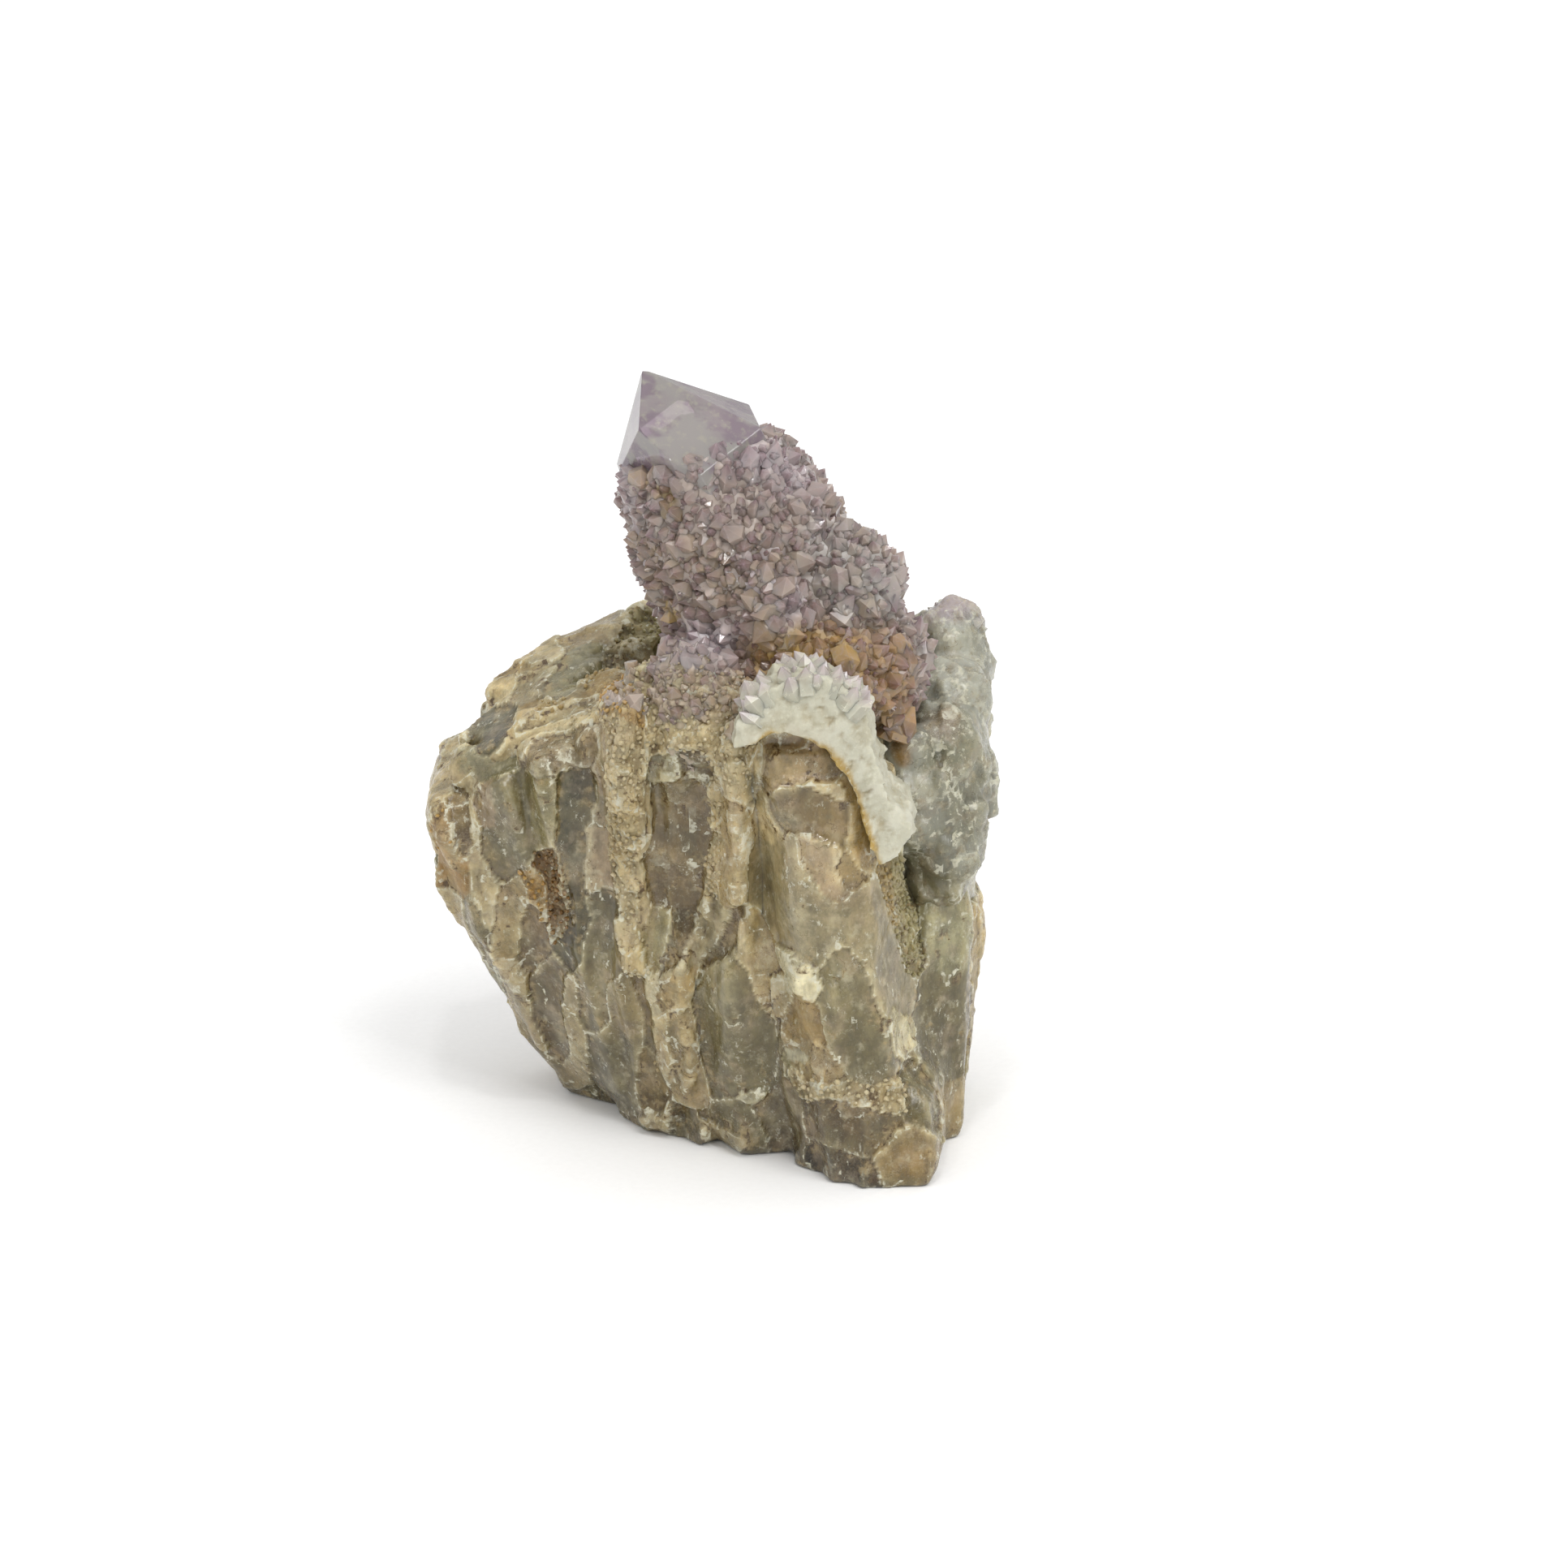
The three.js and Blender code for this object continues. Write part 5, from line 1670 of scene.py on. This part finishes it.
@dataclass
class WhiteRind:
    """The broken white crust over the stump of the front crystal, with teeth on its rim."""

    voxel: float = 0.34
    seed: int = 60
    lumps: Flakes = Flakes(2.3, 1.0, 0.16, 0.16, 0.04, warp=0.6, ramp=0.4, seed=21, fanned=False)
    sugar: Flakes = Flakes(0.7, 1.0, 0.12, 0.2, 0.05, warp=0.2, ramp=0.15, seed=22, fanned=False)
    rim: tuple[Pair, ...] = (
        (-2.6, 56.4), (-1.2, 58.0), (2.4, 59.8), (5.0, 60.2), (8.0, 59.4), (10.0, 57.8),
        (11.2, 54.6),
    )
    inside: tuple[Pair, ...] = (
        (12.1, 39.6), (11.3, 41.8), (10.4, 44.4), (9.7, 47.0), (8.5, 49.6), (6.4, 52.0),
        (3.4, 53.4), (0.4, 53.6), (-1.6, 52.4),
    )
    tooth_spacing: float = 1.15
    tooth_radius: Pair = (0.8, 1.4)
    tooth_stem: Pair = (-0.7, 0.2)
    tooth_sunk: float = 1.8
    tooth_seed: int = 31
    tooth_reach: float = 1.1
    lowest_tooth: float = 56.0
    middle: Triple = (4.0, -19.0, 50.0)

    def build(self) -> Surface:
        """Shape and colour the crust.

        Returns:
            The finished surface.
        """
        surface = Surface.of_node("white_crust", "white_rind", self.voxel, relax=3)
        points, normals = surface.points(), surface.normals()
        lumps, sugar = self.lumps.read(points), self.sugar.read(points)
        drift = SolidNoise(self.seed)
        height = lumps.height + sugar.height + 0.2 * drift.fractal(points, 1.4)
        surface.place(points + normals * height[:, None])
        shape = Tone.MILK.linear() * 0.86 + (lumps.lot[:, None] - 0.5) * 0.1
        line = self.near_inside(points) + 0.4 * drift.fractal(points, 1.6)
        amber = np.clip(1.35 - line / 0.42, 0, 0.95)
        colour = tinted(shape, 0.8 * Tone.GOLD.linear(), amber)
        across, height = points[:, 0], points[:, 2]
        warm = np.clip((6.5 - np.abs(across - 2)) / 9, 0, 1) * np.clip((57.5 - height) / 6, 0, 1)
        colour = tinted(colour, Tone.CREAM.linear(), 0.45 * (warm * (height > 48)))
        # Painted shade in the hollows of the crust, tinted straw.
        hollow = np.clip(-surface.curvature(5) / 0.4, 0, 0.6)
        surface.paint(tinted(colour, Tone.STRAW.linear(), hollow))
        return surface

    def near_inside(self, points: Array) -> Array:
        """Return each place's distance from the crust's inner edge in front view."""
        flat = points[:, [0, 2]]
        best = np.full(len(points), FAR)
        for start, end in zip(self.inside[:-1], self.inside[1:]):
            a, b = np.array(start), np.array(end)
            run = b - a
            along = np.clip((flat - a) @ run / (run @ run), 0, 1)
            best = np.minimum(best, np.linalg.norm(flat - a - np.outer(along, run), axis=1))
        return best

    def teeth(self, surface: Surface) -> bpy.types.Mesh:
        """Grow lavender teeth out of the rim.

        Args:
            surface: The finished crust.

        Returns:
            The joined mesh of the teeth.
        """
        rim = np.array(self.rim)

        def on_rim(places: Array) -> Array:
            """Tell which places lie on the outer rim."""
            away = np.linalg.norm(places[:, None, [0, 2]] - rim[None], axis=2).min(axis=1)
            return (away < self.tooth_reach) & (places[:, 2] > self.lowest_tooth)

        bed = PointBed("rind_teeth", self.tooth_seed)
        for spot in Scatter(self.tooth_spacing, self.tooth_seed + 2).spots(surface, on_rim):
            away = spot.place - np.array(self.middle)
            away[1] *= 0.25
            away /= np.linalg.norm(away)
            if spot.out @ away < 0.15:
                continue
            size = bed.draw.uniform(*self.tooth_radius)
            foot = Tone.MILK.linear() * bed.draw.uniform(0.85, 1.0)
            tip = Tone.LILAC.linear() * bed.draw.uniform(0.9, 1.2)
            axis = away + 0.4 * spot.out + bed.draw.normal(0, 0.14, 3)
            stem = bed.draw.uniform(*self.tooth_stem)
            bed.add(spot.place, axis, size, stem, (foot, tip), self.tooth_sunk)
        return bed.mesh()


@dataclass
class Grains:
    """Loose-looking angular grains where the base is sugary."""

    spacing: float = 0.7
    radius: Pair = (0.14, 0.36)
    jitter: Pair = (0.7, 1.25)
    shades: Pair = (0.9, 1.15)
    squash: Pair = (0.7, 1.2)
    least_grain: float = 0.72
    lowest: float = 1.0
    seed: int = 71

    def build(self, base: Surface, panels: Panels) -> bpy.types.Mesh:
        """Scatter the grains over the base.

        Args:
            base: The finished base.
            panels: Where it is sugary, and its tones.

        Returns:
            The joined mesh of the grains.
        """
        drift = SolidNoise(self.seed)

        def sugary(places: Array) -> Array:
            """Tell which places are sugary."""
            grain = panels.read(places).grain + 0.25 * drift.fractal(places, 3.0)
            return (grain > self.least_grain) & (places[:, 2] > self.lowest)

        draw = np.random.default_rng(self.seed)
        spots = Scatter(self.spacing, self.seed).spots(base, sugary)
        tones = panels.read(np.array([spot.place for spot in spots])).tone
        mesh = bpy.data.meshes.new("sugary_grains")
        with edited(mesh) as work:
            layer = work.verts.layers.float_color.new("tone")
            for spot, tone in zip(spots, tones):
                size = draw.uniform(*self.radius)
                made = bmesh.ops.create_icosphere(work, subdivisions=1, radius=size)["verts"]
                for v in made:
                    v.co *= draw.uniform(*self.jitter)
                    shade = tone * draw.uniform(*self.shades)
                    v[layer] = (*np.clip(shade, 0, 1), 1.0)
                turn = Matrix.Rotation(draw.uniform(0, math.tau), 4, Vector(draw.normal(size=3)))
                squash = Matrix.Diagonal((*draw.uniform(*self.squash, 2), 1, 1))
                place = Matrix.Translation(Vector(spot.place + 0.1 * spot.out))
                matrix = Matrix.Scale(MM, 4) @ place @ turn @ squash
                bmesh.ops.transform(work, matrix=matrix, verts=made)
        return mesh


@dataclass
class Studio:
    """Pale floor, soft light and the camera."""

    camera_place: Triple = (1.87, -456.393, 206.113)
    camera_pitch: float = 20.0
    lens: float = 100.0
    floor_size: float = 6.0
    aim_height: float = 45.0
    sparks: tuple[tuple[str, Triple, float, float], ...] = (
        ("spark left", (-160, -420, 380), 26, 0.22),
        ("spark right", (240, -380, 300), 26, 0.2),
        ("spark top", (-20, -200, 520), 30, 0.22),
    )

    def build(self) -> None:
        """Set the floor, the lights, the surroundings and the camera."""
        self.floor()
        self.sun("key", (0.45, -0.55, 1.0), 28, 1.0)
        for spark in self.sparks:
            self.light(*spark)
        self.surroundings()
        bpy.context.scene.view_settings.view_transform = "Standard"
        camera = bpy.data.cameras.new("camera")
        camera.lens = self.lens
        camera.sensor_width = 36
        camera.clip_start = 0.01
        holder = placed("camera", camera)
        holder.location = Vector(self.camera_place) * MM
        holder.rotation_euler = (math.radians(90 - self.camera_pitch), 0, 0)
        bpy.context.scene.camera = holder

    def surroundings(self) -> None:
        """Surround the specimen with white light, brighter overhead and dimmer in front."""
        world = bpy.data.worlds.new("surroundings")
        bpy.context.scene.world = world
        world.use_nodes = True
        nodes, links = world.node_tree.nodes, world.node_tree.links
        towards = nodes.new("ShaderNodeTexCoord").outputs["Generated"]
        parts = nodes.new("ShaderNodeSeparateXYZ")
        links.new(towards, parts.inputs[0])
        ranges = []
        for part, low, high, to in (("Z", 0.0, 0.9, (0.5, 1.15)), ("Y", -1.0, 0.0, (0.75, 1.0))):
            span = nodes.new("ShaderNodeMapRange")
            links.new(parts.outputs[part], span.inputs["Value"])
            for socket, value in zip(("From Min", "From Max", "To Min", "To Max"), (low, high, *to)):
                span.inputs[socket].default_value = value
            ranges.append(span.outputs["Result"])
        both = nodes.new("ShaderNodeMath")
        both.operation = "MULTIPLY"
        for socket, value in enumerate(ranges):
            links.new(value, both.inputs[socket])
        links.new(both.outputs[0], nodes["Background"].inputs["Strength"])
        nodes["Background"].inputs["Color"].default_value = (1, 1, 1, 1)

    def floor(self) -> None:
        """Lay the floor just under the specimen."""
        mesh = bpy.data.meshes.new("floor")
        low = Matrix.Translation((0, 0, -0.02 * MM))
        half = self.floor_size / 2
        with edited(mesh) as work:
            bmesh.ops.create_grid(work, x_segments=1, y_segments=1, size=half, matrix=low)
        shader = Shader("pale_floor")
        share = shader.between(shader.speckle(0.8, 2), 0.3, 0.7)
        dim, pale = ((level, level, level, 1) for level in (0.93, 0.95))
        shader.put(shader.surface, "Base Color", shader.blend(share, dim, pale))
        shader.put(shader.surface, "Roughness", 0.9)
        mesh.materials.append(shader.material)
        placed("floor", mesh)

    def sun(self, name: str, towards: Triple, spread: float, power: float) -> None:
        """Add a wide soft light that comes from far away.

        Args:
            name: Its name.
            towards: The direction in which it stands.
            spread: The angle that it fills, in degrees.
            power: Its strength on a face that it meets squarely.
        """
        lamp = bpy.data.lights.new(name, "SUN")
        lamp.angle = math.radians(spread)
        lamp.energy = power
        holder = placed(name, lamp)
        holder.rotation_euler = Vector(towards).to_track_quat("Z", "Y").to_euler()

    def light(self, name: str, place: Triple, size: float, power: float) -> None:
        """Add a soft square light that faces the specimen.

        Args:
            name: Its name.
            place: Where it hangs, in millimetres.
            size: Its width in millimetres.
            power: Its power in watts.
        """
        lamp = bpy.data.lights.new(name, "AREA")
        lamp.size = size * MM
        lamp.energy = power
        holder = placed(name, lamp)
        holder.location = Vector(place) * MM
        aim = Vector((0, 0, self.aim_height * MM)) - holder.location
        holder.rotation_euler = aim.to_track_quat("-Z", "Y").to_euler()


def make_base() -> None:
    """Build the base and its grains."""
    base = BrokenBase()
    surface = base.build()
    quartz = BrokenQuartz().material()
    piece = finished_piece("broken_base", surface.mesh, quartz, 38)
    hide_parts("quartz_base")
    apron = PointCoat(
        "apron_points", "quartz_base", AMETHYST_PATCHES,
        sizes=(PointSize(1.5, (1.0, 1.6), (-1.0, -0.35)), PointSize(0.95, (0.5, 0.8), (-0.4, 0.1))),
        lean=0.5, tip_tone=Tone.MAUVE, tip_share=0.4, deep_tone=Tone.BLUSH, seed=41,
    )

    slope = Patch("slope", Tone.BLUSH, (-11.5, -11, 58), (-4, -15.5, 55.5), 7.0)
    lowest, rearmost = 54, -4
    ragged = SolidNoise(42)

    def on_apron(places: Array) -> Array:
        """Tell which places lie on the slope under the amethyst, thinning out downwards."""
        near = slope.away(places) < slope.radius
        height = places[:, 2] + 2.5 * ragged.fractal(places, 2.5)
        return near & (height > lowest) & (places[:, 1] < rearmost)

    points = apron.coat(surface, on_apron, np.array([0, 0, 1.0]))
    small = CoatQuartz("coat_apron", roughness=0.12, clear=0.3, wisp=Tone.MILK).material()
    finished_piece("apron_points", points, small)
    grains = Grains().build(surface, base.panels)
    material = CoatQuartz("grain_quartz", roughness=0.3, clear=0.1, wisp=Tone.CREAM).material()
    finished_piece("sugary_grains", grains, material)


def make_amethyst() -> None:
    """Build the amethyst: its clear tip, its coat and the body under the coat."""
    tip, joint = ClearTip(), TipJoint()
    coat = PointCoat("amethyst_points", "amethyst_spire", AMETHYST_PATCHES)
    core = coat.core()
    near_tip = joint.swell_depth - tip.depth_of(core.points())
    near_tip = np.clip(near_tip / joint.swell_fade, 0, 1)
    core.place(core.points() + (joint.swell * near_tip)[:, None] * core.normals())
    edge = SolidNoise(joint.seed)

    def coated(places: Array) -> Array:
        """Tell which places lie below the ragged edge of the clear tip, but not on the base."""
        low = (places[:, 2] < joint.bare_height) & (places[:, 0] < joint.bare_side)
        depth = tip.depth_of(places) - joint.ragged * edge.smooth(places, joint.ragged_size)
        return (depth > tip.coat_limit(places)) & ~low

    up = np.array(tip.directions()[0])
    points = coat.coat(core, coated, up)
    material = CoatQuartz("coat_amethyst", roughness=0.07, clear=0.32).material()
    piece = finished_piece("amethyst_points", points, material)
    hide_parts("amethyst_spire")
    places = core.points()
    inside = tip.coat_limit(places) + joint.overlap - tip.depth_of(places)
    inside = np.clip(inside / joint.fade, 0, 1)
    coat.paint_core(core, inside)
    core.place(tip.drawn_in(places, joint.drawn_in * inside))
    core.cut_off(tip.place_at(joint.body_top), tip.directions()[0])
    body = CoatQuartz("body_amethyst", roughness=0.35, clear=0.0, wisp=Tone.MAUVE).material()
    finished_piece("amethyst_body", core.mesh, body, 60)
    finished_piece("clear_tip", tip.build(), ClearQuartz().material())


def make_pale_crystals() -> None:
    """Build the two pale crystals on the right, with a few points on top of the rear one."""
    surface = PaleCrystals().build()
    body = BrokenQuartz("body_pale", glassy=0.1, sugary=0.35, clear=0.15, mottle=0.35).material()
    piece = finished_piece("pale_body", surface.mesh, body, 50)
    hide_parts("pale_crystals")
    coat = PointCoat(
        "pale_points", "pale_crystals", PALE_PATCHES,
        sizes=(PointSize(1.7, (1.0, 1.5), (-0.9, -0.3)), PointSize(1.1, (0.5, 0.8), (-0.4, 0.0))),
        shrink=0.4, lean=0.3, tip_tone=Tone.LILAC, tip_share=0.7, deep_tone=Tone.MILK, seed=12,
    )

    lowest = 54.5
    ragged = SolidNoise(13)

    def on_top(places: Array) -> Array:
        """Tell which places lie on the rear crystal's top."""
        return places[:, 2] + 2.5 * ragged.smooth(places, 3.0) > lowest

    points = coat.coat(coat.core(), on_top, np.array([0, 0, 1.0]))
    material = CoatQuartz("coat_pale", roughness=0.14, clear=0.35, wisp=Tone.MILK).material()
    finished_piece("pale_points", points, material)


def make_rind() -> None:
    """Build the white crust and its teeth."""
    rind = WhiteRind()
    surface = rind.build()
    piece = finished_piece("white_crust", surface.mesh, RindQuartz().material(), 40)
    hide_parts("white_rind")
    teeth = rind.teeth(surface)
    material = CoatQuartz("tooth_quartz", roughness=0.12, clear=0.2, wisp=Tone.MILK).material()
    finished_piece("rind_teeth", teeth, material)


def main() -> None:
    """Build the scene in order."""
    logging.basicConfig(level=logging.INFO, format="%(message)s")
    Studio().build()
    make_base()
    make_amethyst()
    make_pale_crystals()
    make_rind()


if __name__ == "__main__":
    main()
